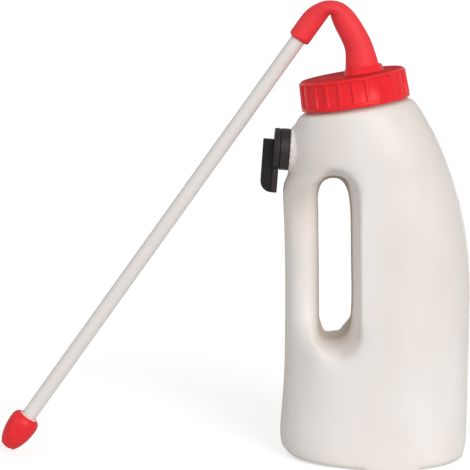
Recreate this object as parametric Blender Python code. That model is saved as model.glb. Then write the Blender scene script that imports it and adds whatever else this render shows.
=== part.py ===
# A drenching bottle: a hand-held bottle of about four litres that gives liquid to cattle by mouth.
# It has a blow-moulded bottle with a hollow grip, a screw cap, a folded rubber elbow, a stiff probe
# with a soft tip, and an air valve on the shoulder that the thumb turns.
#
# Metres, +Z up. The floor is Z = 0 and the whole object is centred on X = 0 and Y = 0.
# The bottle is on the right and its probe hangs to the left, as it stands on a shelf.

import math

import bmesh
import bpy
from mathutils import Matrix, Vector

# The bottle's own centre line lies this far right of the middle of the whole object
STAND_X = 0.1335

# Fits between pieces
SEAT_GAP = 0.0003
SHOULDER_GAP = 0.0010

# Bottle, measured from its own centre line and from the floor
BODY_HALF_DEPTH = 0.0625
BODY_EGG = 0.10
BODY_FULLNESS = 2.15
SHOULDER_FULLNESS = 2.20
SHOULDER_DRAW_LOW = 0.210
SHOULDER_DRAW_SPAN = 0.100
WALL = 0.0020
FOOT_WIDTH = 0.006
DISH_HEIGHT = 0.005
BASE_FILLET = 0.019
BASE_FILLET_HEIGHT = 0.022

# Half widths of the bottle's outline at a few heights: (height, distance from the centre line)
LEFT_OUTLINE = [
    (0.000, 0.0870), (0.024, 0.0886), (0.060, 0.0863), (0.096, 0.0847), (0.130, 0.0845), (0.165, 0.0847),
    (0.215, 0.0855), (0.248, 0.0868), (0.260, 0.0858), (0.270, 0.0812), (0.292, 0.0802),
]
RIGHT_OUTLINE = [
    (0.000, 0.0860), (0.024, 0.0874), (0.060, 0.0885), (0.096, 0.0890), (0.130, 0.0892), (0.165, 0.0891),
    (0.215, 0.0841), (0.250, 0.0757), (0.264, 0.0712), (0.279, 0.0658), (0.302, 0.0557),
]

# Heights, on the left and on the right, of the rows that the bottle's cage is drawn in
LOW_ROWS = [(0.024, 0.024), (0.062, 0.062)]
FLOOR_ROWS = [(0.130, 0.130), (0.113, 0.113), (0.096, 0.096)]
GRIP_ROWS = [0.143, 0.174, 0.205, 0.234]
TOP_ROWS = [(0.247, 0.249), (0.260, 0.264), (0.271, 0.279)]
SHOULDER_RISE = 0.0106

# The shoulder's last two rows, in the neck's frame: left across and down, right across and down, depth
SHOULDER_ROWS = [(0.0586, 0.0086, 0.0572, 0.0112, 0.0550), (0.0508, 0.0030, 0.0498, 0.0030, 0.0500)]

# Hand hole, in the mould's parting plane, and the grip beside it
HOLE_LEFT = 0.0535
HOLE_RIGHT = 0.0216
HOLE_FLOOR = 0.1135
HOLE_TOP = 0.2674
HOLE_END_HEIGHT = 0.0145
HOLE_SQUARENESS = 2.0
HOLE_LOOP_STEP = 0.0010
HOLE_TOP_LEFT = 0.0018
HOLE_TOP_RIGHT = 0.0022
HOLE_DRAFT = 0.0055
HOLE_FLOOR_DRAFT = 0.0115
HOLE_TOP_DRAFT = 0.0085
GRIP_HALF_DEPTH = 0.0195
GRIP_CREST = 0.0700
GRIP_BLEND = 0.042
GRIP_WALL_STEP = 0.0042
PINCH_START = 0.0135
PINCH_SPAN = 0.0220
RIM_ROUND_LEFT = 0.0125
RIM_ROUND_SIDE = 0.0040
RIM_ROUND_END = 0.0055
SIDE_WALL_SHARE = 0.92
END_WALL_SHARE = 0.85
GRIP_WALL_SHARE = 0.68

# How far the bottle's cage may move to bring its smooth skin onto the drawn points
CAGE_REACH = 0.0090
RIM_REACH = 0.0020

# Neck, whose axis leans to the left, and the cap that screws on it
NECK_X = -0.0195
NECK_Z = 0.3345
NECK_LEAN = math.radians(8.9)
THREAD_ROOM = 0.0025
NECK_HEIGHT = 0.0220
NECK_ROOT = 0.0050
CAP_RADIUS = 0.0501
CAP_TAPER = 0.0010
CAP_EDGE = 0.0006
CAP_BEVEL = 0.0027
CAP_PLATE = 0.0026
CAP_SKIRT_WALL = 0.0026
CAP_RIBS = 24
CAP_RIB_ANGLE = math.radians(3.4)
CAP_RIB_PHASE = math.radians(-93.9)
CAP_RIM_BAND = 0.0036
CAP_TOP_BAND = 0.0030
CAP_PANEL_DEPTH = 0.0009
GASKET_THICKNESS = 0.0018
GASKET_WIDTH = 0.0075

# Outlet on the cap's top, which sits off the cap's centre
OUTLET_OFFSET = 0.0107
OUTLET_BOSS_RADIUS = 0.0181
OUTLET_BOSS_HEIGHT = 0.0034
SPIGOT_RADIUS = 0.0090
SPIGOT_HEIGHT = 0.0160
OUTLET_BORE_RADIUS = 0.0064

# Rubber elbow, measured in the neck's own frame: across the neck and along its axis
ELBOW_BASE_RADIUS = 0.0157
ELBOW_LEG_RADIUS = 0.0136
ELBOW_FOLD_RADIUS = 0.0113
ELBOW_END_RADIUS = 0.0083
ELBOW_WALL = 0.0030
ELBOW_FLARE_HEIGHT = 0.018
ELBOW_APEX_ACROSS = -0.0125
ELBOW_APEX_UP = 0.0850
ELBOW_CREST = 0.0136
ELBOW_FOLD_SIDE = 0.0184
ELBOW_CREASE = 0.0012
ELBOW_LEG_LEAN = math.radians(21)
ELBOW_END_ACROSS = -0.0451
ELBOW_END_UP = 0.0663
ELBOW_LOW_HANDLE = 0.0100
ELBOW_HIGH_HANDLE = 0.0200

# Probe and its soft tip
PROBE_RADIUS = 0.0070
PROBE_BORE_RADIUS = 0.0050
PROBE_SHOWN = 0.4370
PROBE_LEAN = math.radians(35.3)
PROBE_SOCKET = 0.0240
TIP_SOCKET = 0.0230
TIP_LENGTH = 0.0358
TIP_RADIUS = 0.0131
TIP_MOUTH_RADIUS = 0.0052
TIP_NOTCHES = 4
TIP_NOTCH_WIDTH = 0.0042
TIP_NOTCH_DEPTH = 0.0048

# Air valve on the left shoulder
VALVE_DROP = 0.0431
VALVE_PROUD = 0.0006
VALVE_TILT = math.radians(4.0)
VALVE_RADIUS = 0.0193
VALVE_DISC = 0.0068
VALVE_BOSS_RADIUS = 0.0208
VALVE_BOSS_DEPTH = 0.0100
VALVE_BOSS_FLARE = 0.0040
VALVE_BOSS_WALL = 0.0026
SHANK_RADIUS = 0.0098
SHANK_LENGTH = 0.0175
SPINDLE_RADIUS = 0.0038
SPINDLE_TAIL = 0.0042
VENT_RADIUS = 0.0016
VENT_OFFSET = 0.0069
LEVER_REACH = 0.0407
LEVER_RISE = 0.0087
LEVER_PROUD = 0.0105
LEVER_CORNER = 0.0105
FIN_THICKNESS = 0.0085
ARM_WIDTH = 0.0170
NUT_ACROSS_FLATS = 0.0270
NUT_HEIGHT = 0.0060
VALVE_GASKET_THICKNESS = 0.0014
SEAL_THICKNESS = 0.0016
CLIP_THICKNESS = 0.0010
CLIP_WIDTH = 0.0030

# Facets
RING_COLUMNS = 12
ROUND_SEGMENTS = 32


# Scene and materials

def clear_scene():
    for old in list(bpy.data.objects):
        bpy.data.objects.remove(old, do_unlink=True)


def plain_material(name, colour, roughness, metallic=0.0):
    material = bpy.data.materials.new(name)
    material.use_nodes = True
    shader = material.node_tree.nodes["Principled BSDF"]
    shader.inputs["Base Color"].default_value = (*colour, 1.0)
    shader.inputs["Roughness"].default_value = roughness
    shader.inputs["Metallic"].default_value = metallic
    material.diffuse_color = (*colour, 1.0)
    return material


def milky_plastic(name):
    return plain_material(name, (0.86, 0.82, 0.78), 0.42)


def tube_plastic(name):
    return plain_material(name, (0.84, 0.80, 0.77), 0.35)


def glossy_red(name):
    return plain_material(name, (0.80, 0.02, 0.03), 0.22)


def red_rubber(name):
    return plain_material(name, (0.82, 0.04, 0.05), 0.55)


def black_plastic(name):
    return plain_material(name, (0.030, 0.027, 0.027), 0.38)


def grey_rubber(name):
    return plain_material(name, (0.12, 0.12, 0.12), 0.75)


def spring_steel(name):
    return plain_material(name, (0.55, 0.55, 0.56), 0.30, 1.0)


# Objects and frames

def add_empty(name, parent, matrix):
    empty = bpy.data.objects.new(name, None)
    empty.empty_display_size = 0.02
    bpy.context.scene.collection.objects.link(empty)
    empty.parent = parent
    empty.matrix_local = matrix
    return empty


def add_object(name, bm, parent, material, smooth=True):
    mesh = bpy.data.meshes.new(name)
    bm.to_mesh(mesh)
    bm.free()
    if smooth:
        mesh.shade_smooth()
        mesh.set_sharp_from_angle(angle=math.radians(32))
    obj = bpy.data.objects.new(name, mesh)
    bpy.context.scene.collection.objects.link(obj)
    obj.parent = parent
    if material:
        mesh.materials.append(material)
    return obj


def add_cutter(name, bm, parent):
    cutter = add_object(name, bm, parent, None, smooth=False)
    cutter.hide_render = True
    cutter.display_type = "WIRE"
    return cutter


def add_boolean(target, other, operation):
    modifier = target.modifiers.new(operation.lower() + "_" + other.name, "BOOLEAN")
    modifier.operation = operation
    modifier.solver = "EXACT"
    modifier.object = other
    return modifier


# Mesh helpers

def ring(bm, points):
    return [bm.verts.new(point) for point in points]


def bridge(bm, lower, upper):
    # Quads between two closed rings that run the same way round
    count = len(lower)
    for i in range(count):
        j = (i + 1) % count
        bm.faces.new((lower[i], lower[j], upper[j], upper[i]))


def lofted(rings):
    # A tube of rings, closed into a doughnut: the last ring joins the first
    bm = bmesh.new()
    loops = [ring(bm, points) for points in rings]
    for i, loop in enumerate(loops):
        bridge(bm, loop, loops[(i + 1) % len(loops)])
    bmesh.ops.recalc_face_normals(bm, faces=bm.faces)
    return bm


def turned(profile, segments=ROUND_SEGMENTS):
    # A body of revolution about Z from (radius, height) points; points on the axis become poles
    bm = bmesh.new()
    verts = [bm.verts.new((radius, 0.0, height)) for radius, height in profile]
    edges = [bm.edges.new((verts[i], verts[(i + 1) % len(verts)])) for i in range(len(verts))]
    bmesh.ops.spin(
        bm, geom=verts + edges, cent=(0, 0, 0), axis=(0, 0, 1), angle=2 * math.pi, steps=segments, use_merge=True,
    )
    bmesh.ops.remove_doubles(bm, verts=bm.verts, dist=1e-6)
    loose = [face for face in bm.faces if face.calc_area() < 1e-12]
    bmesh.ops.delete(bm, geom=loose, context="FACES")
    wires = [edge for edge in bm.edges if not edge.link_faces]
    bmesh.ops.delete(bm, geom=wires, context="EDGES")
    bmesh.ops.recalc_face_normals(bm, faces=bm.faces)
    return bm


def cylinder(radius, low, high, segments=ROUND_SEGMENTS, centre=(0.0, 0.0)):
    bm = bmesh.new()
    place = Matrix.Translation((centre[0], centre[1], (low + high) / 2))
    bmesh.ops.create_cone(
        bm, cap_ends=True, segments=segments, radius1=radius, radius2=radius, depth=high - low, matrix=place,
    )
    return bm


def box(low, high):
    bm = bmesh.new()
    size = Vector(high) - Vector(low)
    middle = (Vector(high) + Vector(low)) / 2
    bmesh.ops.create_cube(bm, size=1.0, matrix=Matrix.Translation(middle) @ Matrix.Diagonal(size).to_4x4())
    return bm


def smooth_step(value):
    value = min(max(value, 0.0), 1.0)
    return value * value * (3 - 2 * value)


def mix(a, b, share):
    return a + (b - a) * share


def outline_at(points, height):
    # A smooth curve through the outline's points, read at one height
    heights = [point[0] for point in points]
    last = len(points) - 1
    i = max(k for k in range(last) if heights[k] <= height or k == 0)
    before, after = max(i - 1, 0), min(i + 2, last)
    slope_in = (points[i + 1][1] - points[before][1]) / (heights[i + 1] - heights[before])
    slope_out = (points[after][1] - points[i][1]) / (heights[after] - heights[i])
    span = heights[i + 1] - heights[i]
    t = (height - heights[i]) / span
    value = (2 * t**3 - 3 * t**2 + 1) * points[i][1] + (t**3 - 2 * t**2 + t) * span * slope_in
    return value + (3 * t**2 - 2 * t**3) * points[i + 1][1] + (t**3 - t**2) * span * slope_out


# Frames: the neck's, the valve's and the elbow's

def neck_matrix():
    return Matrix.Translation((NECK_X, 0, NECK_Z)) @ Matrix.Rotation(-NECK_LEAN, 4, "Y")


def neck_point(across, up, depth=0.0):
    return neck_matrix() @ Vector((across, depth, up))


def valve_height():
    # The valve keeps its distance below the neck
    return NECK_Z - VALVE_DROP


def valve_face():
    return outline_at(LEFT_OUTLINE, valve_height()) + VALVE_PROUD


def valve_matrix():
    # Its Z points out of the bottle, and its X points down along the lever
    outward = Vector((-math.cos(VALVE_TILT), 0, math.sin(VALVE_TILT)))
    down = Vector((-math.sin(VALVE_TILT), 0, -math.cos(VALVE_TILT)))
    side = outward.cross(down)
    turn = Matrix((down, side, outward)).transposed().to_4x4()
    return Matrix.Translation((-valve_face(), 0, valve_height())) @ turn


def probe_lean_in_neck():
    return PROBE_LEAN + NECK_LEAN


# Bottle

def half_depth_at(height):
    # The body keeps its depth up to the shoulder, then draws in
    return BODY_HALF_DEPTH * (1 - 0.075 * smooth_step((height - SHOULDER_DRAW_LOW) / SHOULDER_DRAW_SPAN))


def egg(share):
    # Depth across the bottle, from its left outline (0) to its right one (1), blunter on the right
    c = 2 * share - 1
    round_part = max(0.0, 1 - abs(c) ** BODY_FULLNESS) ** (1 / BODY_FULLNESS)
    return round_part * (1 + BODY_EGG * c)


def body_depth(x, height):
    left = -outline_at(LEFT_OUTLINE, height)
    right = outline_at(RIGHT_OUTLINE, height)
    share = min(max((x - left) / (right - left), 0.0), 1.0)
    return half_depth_at(height) * egg(share)


def grip_share(height):
    # 1 along the grip, falling to 0 where it runs into the body above and below the hole
    from_floor = (height - HOLE_FLOOR + 0.13 * GRIP_BLEND) / GRIP_BLEND
    from_top = (HOLE_TOP + 0.13 * GRIP_BLEND - height) / GRIP_BLEND
    return smooth_step(from_floor) * smooth_step(from_top)


def even_shares():
    return [(1 - math.cos(math.pi * i / RING_COLUMNS)) / 2 for i in range(RING_COLUMNS + 1)]


def hole_shares():
    # Column places in the rows beside the hole: five across the grip, one in the hole, the rest the body
    return [0.0, 0.026, 0.085, 0.150, 0.205, 0.280, 0.350, 0.410, 0.475, 0.600, 0.780, 0.930, 1.0]


def section(left, right, depth, shares, fullness=2.0, egg_share=0.0):
    # Half a closed section between two outline points, with its depth towards the front
    points = []
    for share in shares:
        c = 2 * share - 1
        reach = max(0.0, 1 - abs(c) ** fullness) ** (1 / fullness) * (1 + egg_share * c)
        points.append(Vector((mix(left[0], right[0], share), -depth * reach, mix(left[1], right[1], share))))
    return points


def level_row(height_left, height_right, spread, fullness=BODY_FULLNESS):
    # A row of the body: its outline points at their heights, its columns spread for the hole by a share
    left = (-outline_at(LEFT_OUTLINE, height_left), height_left)
    right = (outline_at(RIGHT_OUTLINE, height_right), height_right)
    shares = [mix(even, hole, spread) for even, hole in zip(even_shares(), hole_shares())]
    depth = half_depth_at((height_left + height_right) / 2)
    return section(left, right, depth, shares, fullness, BODY_EGG)


def hole_loop(level, side, angle):
    # A point of one of the three loops round the hole, in the side view. level 0 is the parting
    # line, 1 the wall where its rounding starts, 2 the surface where it ends. side is "floor" or
    # "top"; angle runs from the left side (0) through the end (90) to the right side (180).
    left = HOLE_LEFT + (0.0, GRIP_WALL_STEP, RIM_ROUND_LEFT)[level]
    right = HOLE_RIGHT - (0.0, 0.9 * HOLE_DRAFT, HOLE_DRAFT + RIM_ROUND_SIDE)[level]
    if side == "floor":
        end = HOLE_FLOOR - (0.0, 0.85 * HOLE_FLOOR_DRAFT, HOLE_FLOOR_DRAFT + RIM_ROUND_END)[level]
        centre = HOLE_FLOOR + HOLE_END_HEIGHT + HOLE_LOOP_STEP * level
    else:
        left += HOLE_TOP_LEFT
        right += HOLE_TOP_RIGHT
        end = HOLE_TOP + (0.0, 0.85 * HOLE_TOP_DRAFT, HOLE_TOP_DRAFT + RIM_ROUND_END)[level]
        centre = HOLE_TOP - HOLE_END_HEIGHT - HOLE_LOOP_STEP * level
    middle = (left + right) / 2
    turn = math.radians(angle)
    outer = left if angle < 90 else right
    power = 2 / HOLE_SQUARENESS
    return -mix(middle, outer, abs(math.cos(turn))**power), mix(centre, end, abs(math.sin(turn))**power)


def side_of_hole(level, right_side, height):
    # The same loops along the grip and along the body, at a height between the two ends
    if level and not right_side:
        return (-HOLE_LEFT - GRIP_WALL_STEP, height) if level == 1 else (-GRIP_CREST, height)
    up = smooth_step((height - HOLE_FLOOR) / (HOLE_TOP - HOLE_FLOOR))
    angle = 180 if right_side else 0
    low_x = hole_loop(level, "floor", angle)[0]
    high_x = hole_loop(level, "top", angle)[0]
    return mix(low_x, high_x, up), height


def pinch_at(x, z):
    # How far the body is drawn in to the grip's depth: 0 on the body, 1 on the grip
    return grip_share(z) * smooth_step((-x - HOLE_LEFT + PINCH_START) / PINCH_SPAN)


def on_surface(x, z):
    return Vector((x, -mix(body_depth(x, z), GRIP_HALF_DEPTH, pinch_at(x, z)), z))


def on_wall(x, z, end_share):
    # Just behind the rim: end_share is 0 beside the hole and 1 at its floor or top
    pinch = pinch_at(x, z)
    rim = mix(body_depth(x, z), GRIP_HALF_DEPTH, pinch)
    share = mix(mix(SIDE_WALL_SHARE, END_WALL_SHARE, end_share), GRIP_WALL_SHARE, pinch)
    return Vector((x, -rim * share, z))


def on_parting(x, z):
    return Vector((x, 0.0, z))


def row_beside_hole(height_left, height_right, named):
    # A full row whose middle columns are given one by one: {column: point}
    points = level_row(height_left, height_right, 1.0)
    pinch = grip_share(height_left)
    points[1].y = mix(points[1].y, -0.66 * GRIP_HALF_DEPTH, pinch)
    for column, point in named.items():
        points[column] = point
    return points


def end_rows(side, heights):
    # The three rows at one end of the hole, from the parting line outwards:
    # columns 2 and 8 carry the rim, 3 and 7 the wall, 4 to 6 the parting line
    def wall(angle):
        return on_wall(*hole_loop(1, side, angle), math.sin(math.radians(angle)))

    def rim(angle):
        return on_surface(*hole_loop(2, side, angle))

    parting = {4 + i: on_parting(*hole_loop(0, side, angle)) for i, angle in enumerate((42, 90, 138))}
    parting.update({2: rim(8), 3: wall(14), 7: wall(166), 8: rim(172)})
    middle = {3 + i: wall(angle) for i, angle in enumerate((40, 64, 90, 116, 140))}
    middle.update({2: rim(25), 8: rim(155)})
    outside = {2 + i: rim(angle) for i, angle in enumerate((43, 59, 75, 90, 105, 121, 137))}
    return [row_beside_hole(*pair, named) for pair, named in zip(heights, (parting, middle, outside))]


def grip_row(height):
    named = {
        2: on_surface(*side_of_hole(2, False, height)),
        3: on_wall(*side_of_hole(1, False, height), 0.0),
        4: on_parting(*side_of_hole(0, False, height)),
        5: None,
        6: on_parting(*side_of_hole(0, True, height)),
        7: on_wall(*side_of_hole(1, True, height), 0.0),
        8: on_surface(*side_of_hole(2, True, height)),
    }
    return row_beside_hole(height, height, named)


def base_rows():
    left, right = outline_at(LEFT_OUTLINE, LOW_ROWS[0][0]), outline_at(RIGHT_OUTLINE, LOW_ROWS[0][1])
    rows = []
    steps = ((0.42, DISH_HEIGHT, 0.0), (None, 0.0, BASE_FILLET + FOOT_WIDTH), (None, 0.0, BASE_FILLET),
             (None, BASE_FILLET_HEIGHT * 0.26, BASE_FILLET * 0.28))
    for scale, height, inset in steps:
        if scale is None:
            ends, depth = (inset - left, right - inset), BODY_HALF_DEPTH - inset
        else:
            ends, depth = (-left * scale, right * scale), BODY_HALF_DEPTH * scale
        rows.append(section(
            (ends[0], height), (ends[1], height), depth, even_shares(), BODY_FULLNESS, BODY_EGG,
        ))
    return rows


def neck_rows():
    rows = []
    for left_across, left_down, right_across, right_down, depth in SHOULDER_ROWS:
        low = neck_point(-left_across, -left_down)
        high = neck_point(right_across, -right_down)
        rows.append(section((low.x, low.z), (high.x, high.z), depth, even_shares()))
    collar = neck_radius() + 1.2 * SHOULDER_GAP
    for radius, up in ((collar, -SHOULDER_GAP), (neck_radius(), NECK_ROOT), (neck_radius(), NECK_HEIGHT)):
        low = neck_point(-radius, up)
        high = neck_point(radius, up)
        rows.append(section((low.x, low.z), (high.x, high.z), radius, even_shares()))
    return rows


def bottle_rows():
    rows = base_rows()
    rows.append(level_row(*LOW_ROWS[0], 0.15))
    rows.append(level_row(*LOW_ROWS[1], 0.6))
    rows += reversed(end_rows("floor", FLOOR_ROWS))
    rows += [grip_row(height) for height in GRIP_ROWS]
    rows += end_rows("top", TOP_ROWS)
    rows.append(level_row(valve_height(), valve_height() + SHOULDER_RISE, 0.5, SHOULDER_FULLNESS))
    return rows + neck_rows()


def bottle_cage():
    # Half rows mirrored into rings, joined row by row; the hole's cells stay open, and its two
    # halves meet on the parting line
    bm = bmesh.new()
    crease = bm.edges.layers.float.new("crease_edge")
    reach = bm.verts.layers.float.new("reach")
    rows = []
    for points in bottle_rows():
        front = [bm.verts.new(point) if point else None for point in points]
        back = []
        for point, vert in zip(points, front):
            if point is None or abs(point.y) < 1e-7:
                back.append(vert)
            else:
                back.append(bm.verts.new((point.x, -point.y, point.z)))
        rows.append((front, back))
    for (front, back), (front_up, back_up) in zip(rows, rows[1:]):
        for i in range(RING_COLUMNS):
            cell = (front[i], front[i + 1], front_up[i + 1], front_up[i])
            mirrored = (back[i], back_up[i], back_up[i + 1], back[i + 1])
            for corners in (cell, mirrored):
                if None not in corners:
                    bm.faces.new(corners)
    pole = bm.verts.new((0, 0, DISH_HEIGHT * 1.15))
    for side in rows[0]:
        for i in range(RING_COLUMNS):
            bm.faces.new((pole, side[i], side[i + 1]))
    for index in (1, 2):
        for side in rows[index]:
            for i in range(RING_COLUMNS):
                bm.edges.get((side[i], side[i + 1]))[crease] = 1.0
    first_open = next(i for i, row in enumerate(rows) if None in row[0])
    last_open = max(i for i, row in enumerate(rows) if None in row[0])
    for vert in bm.verts:
        vert[reach] = CAGE_REACH
    for index in (*range(first_open - 3, first_open), *range(last_open + 1, last_open + 4)):
        for side in rows[index]:
            for vert in side[2:9]:
                vert[reach] = CAGE_REACH if abs(vert.co.y) < 1e-7 else RIM_REACH
    bmesh.ops.recalc_face_normals(bm, faces=bm.faces)
    return bm


def settle_on_points(obj, rounds=4):
    # Subdivision draws a cage inwards, so the cage is pushed out a few times until the smooth skin
    # itself runs close by the points that the cage was drawn with. Each point has its own reach.
    reaches = [item.value for item in obj.data.attributes["reach"].data]
    points = [vert.co.copy() for vert in obj.data.vertices]
    for _ in range(rounds):
        bpy.context.view_layer.update()
        smooth = obj.evaluated_get(bpy.context.evaluated_depsgraph_get()).data
        errors = [point - smooth.vertices[i].co for i, point in enumerate(points)]
        for vert, point, error, reach in zip(obj.data.vertices, points, errors, reaches):
            move = vert.co + error - point
            vert.co = point + move * min(1.0, reach / max(move.length, 1e-9))
        obj.data.update()
    bpy.context.view_layer.update()


def applied_skin(obj):
    # The smooth skin as a mesh of its own
    smooth = obj.evaluated_get(bpy.context.evaluated_depsgraph_get())
    bm = bmesh.new()
    bm.from_mesh(smooth.data)
    return bm


def close_mouth(bm, rise):
    # Carries the open rim up along the neck by the rise, and closes it
    rim = [edge for edge in bm.edges if edge.is_boundary]
    if rise > 0:
        made = bmesh.ops.extrude_edge_only(bm, edges=rim)["geom"]
        lift = neck_matrix().to_3x3() @ Vector((0, 0, rise))
        bmesh.ops.translate(bm, vec=lift, verts=[item for item in made if isinstance(item, bmesh.types.BMVert)])
        rim = [edge for edge in bm.edges if edge.is_boundary]
    bmesh.ops.contextual_create(bm, geom=rim)
    bmesh.ops.recalc_face_normals(bm, faces=bm.faces)


def shrink(bm, distance):
    bm.normal_update()
    moves = [vert.normal * vert.calc_shell_factor() * distance for vert in bm.verts]
    for vert, move in zip(bm.verts, moves):
        vert.co -= move


def frustum(radius_low, radius_high, low, high):
    return turned([(0, low), (radius_low, low), (radius_high, high), (0, high)], 48)


def make_bottle(stand, valve_frame):
    cage = add_cutter("bottle_cage", bottle_cage(), stand)
    smoother = cage.modifiers.new("smooth", "SUBSURF")
    smoother.levels = smoother.render_levels = 1
    settle_on_points(cage)
    outside = applied_skin(cage)
    inside = outside.copy()
    shrink(inside, WALL)
    close_mouth(outside, 0.0)
    close_mouth(inside, 2 * WALL)
    bpy.data.objects.remove(cage, do_unlink=True)

    bottle = add_object("bottle", outside, stand, milky_plastic("milky_plastic"))
    root = VALVE_BOSS_RADIUS + VALVE_BOSS_FLARE
    boss = add_cutter("boss_form", frustum(root, VALVE_BOSS_RADIUS, -VALVE_BOSS_DEPTH, 0.0), valve_frame)
    cavity = add_cutter("cavity_form", inside, stand)
    inner_face = -VALVE_BOSS_WALL
    inner_radius = VALVE_BOSS_RADIUS - 0.5 * WALL
    pocket_form = frustum(inner_radius, inner_radius - WALL, -VALVE_BOSS_DEPTH, inner_face)
    pocket = add_cutter("pocket_form", pocket_form, valve_frame)
    shank_hole = cylinder(SHANK_RADIUS + SEAT_GAP, -2 * VALVE_BOSS_DEPTH, VALVE_BOSS_DEPTH)
    hole = add_cutter("shank_hole", shank_hole, valve_frame)
    add_boolean(bottle, boss, "UNION")
    add_boolean(cavity, pocket, "UNION")
    add_boolean(bottle, cavity, "DIFFERENCE")
    add_boolean(bottle, hole, "DIFFERENCE")
    return bottle


# Cap and gasket

def cap_top_radius():
    return CAP_RADIUS - CAP_TAPER


def cap_inner_radius():
    return cap_top_radius() - CAP_SKIRT_WALL


def neck_radius():
    # The neck leaves room for its thread inside the cap's skirt
    return cap_inner_radius() - THREAD_ROOM


def cap_underside():
    return NECK_HEIGHT + SEAT_GAP + GASKET_THICKNESS + SEAT_GAP


def cap_height():
    return cap_underside() + CAP_PLATE


def outlet_seat():
    return cap_height() + OUTLET_BOSS_HEIGHT


def cap_angles():
    # Two columns for each rib: its left and right edges
    pitch = 2 * math.pi / CAP_RIBS
    angles = []
    for i in range(CAP_RIBS):
        middle = CAP_RIB_PHASE + i * pitch
        angles += [middle - CAP_RIB_ANGLE / 2, middle + CAP_RIB_ANGLE / 2]
    return angles


def cap_shell():
    height = cap_height()
    shoulder = height - CAP_BEVEL
    panel_low = CAP_RIM_BAND
    panel_high = shoulder - CAP_TOP_BAND

    def side_radius(up):
        return mix(CAP_RADIUS, cap_top_radius(), up / shoulder)

    top_radius = cap_top_radius()
    inner = cap_inner_radius()
    profile = [
        (side_radius(0) - CAP_EDGE, 0.0), (side_radius(CAP_EDGE), CAP_EDGE), (side_radius(panel_low), panel_low),
        (side_radius(panel_high), panel_high), (top_radius, shoulder),
        (top_radius - CAP_BEVEL * 0.30, height - CAP_BEVEL * 0.30), (top_radius - CAP_BEVEL, height),
    ]
    underside = [(inner, cap_underside()), (inner, CAP_EDGE), (inner + CAP_EDGE, 0.0)]
    bm = bmesh.new()
    angles = cap_angles()

    def loop(radius, up):
        return ring(bm, [(radius * math.cos(a), radius * math.sin(a), up) for a in angles])

    outer_loops = [loop(*point) for point in profile]
    inner_loops = [loop(*point) for point in underside]
    for low, high in zip(outer_loops, outer_loops[1:]):
        bridge(bm, low, high)
    for high, low in zip(inner_loops, inner_loops[1:]):
        bridge(bm, high, low)
    bridge(bm, inner_loops[-1], outer_loops[0])
    bm.faces.new(outer_loops[-1])
    bm.faces.new(list(reversed(inner_loops[0])))
    bm.verts.index_update()
    low_ring, high_ring = outer_loops[2], outer_loops[3]
    panels = []
    for i in range(1, len(angles), 2):
        j = (i + 1) % len(angles)
        corners = {low_ring[i], low_ring[j], high_ring[j], high_ring[i]}
        panels += [face for face in low_ring[i].link_faces if set(face.verts) == corners]
    bmesh.ops.recalc_face_normals(bm, faces=bm.faces)
    bmesh.ops.inset_individual(bm, faces=panels, thickness=CAP_PANEL_DEPTH * 0.55, depth=-CAP_PANEL_DEPTH)
    return bm


def outlet_form():
    seat = outlet_seat()
    top = seat + SPIGOT_HEIGHT
    root = cap_underside() + CAP_PLATE * 0.5
    return turned([
        (0, root), (OUTLET_BOSS_RADIUS + CAP_EDGE, root), (OUTLET_BOSS_RADIUS + CAP_EDGE, cap_height() + CAP_EDGE),
        (OUTLET_BOSS_RADIUS, cap_height() + 2 * CAP_EDGE), (OUTLET_BOSS_RADIUS, seat - CAP_EDGE),
        (OUTLET_BOSS_RADIUS - CAP_EDGE, seat), (SPIGOT_RADIUS, seat), (SPIGOT_RADIUS, top - 2 * CAP_EDGE),
        (SPIGOT_RADIUS - 2 * CAP_EDGE, top), (0, top),
    ])


def make_cap(neck_frame):
    cap = add_object("screw_cap", cap_shell(), neck_frame, glossy_red("glossy_red"))
    place = Matrix.Translation((OUTLET_OFFSET, 0, 0))
    outlet = outlet_form()
    bmesh.ops.transform(outlet, matrix=place, verts=outlet.verts)
    add_boolean(cap, add_cutter("outlet_form", outlet, neck_frame), "UNION")
    top = outlet_seat() + SPIGOT_HEIGHT + 0.002
    bore = cylinder(OUTLET_BORE_RADIUS, cap_underside() - 0.002, top, centre=(OUTLET_OFFSET, 0.0))
    add_boolean(cap, add_cutter("outlet_bore", bore, neck_frame), "DIFFERENCE")
    return cap


def make_cap_gasket(neck_frame):
    outer = cap_inner_radius() - SEAT_GAP
    low = NECK_HEIGHT + SEAT_GAP
    high = low + GASKET_THICKNESS
    inner = outer - GASKET_WIDTH
    profile = [(inner, low), (outer, low), (outer, high), (inner, high)]
    return add_object("cap_gasket", turned(profile, 48), neck_frame, grey_rubber("grey_rubber"))


# Elbow

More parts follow.
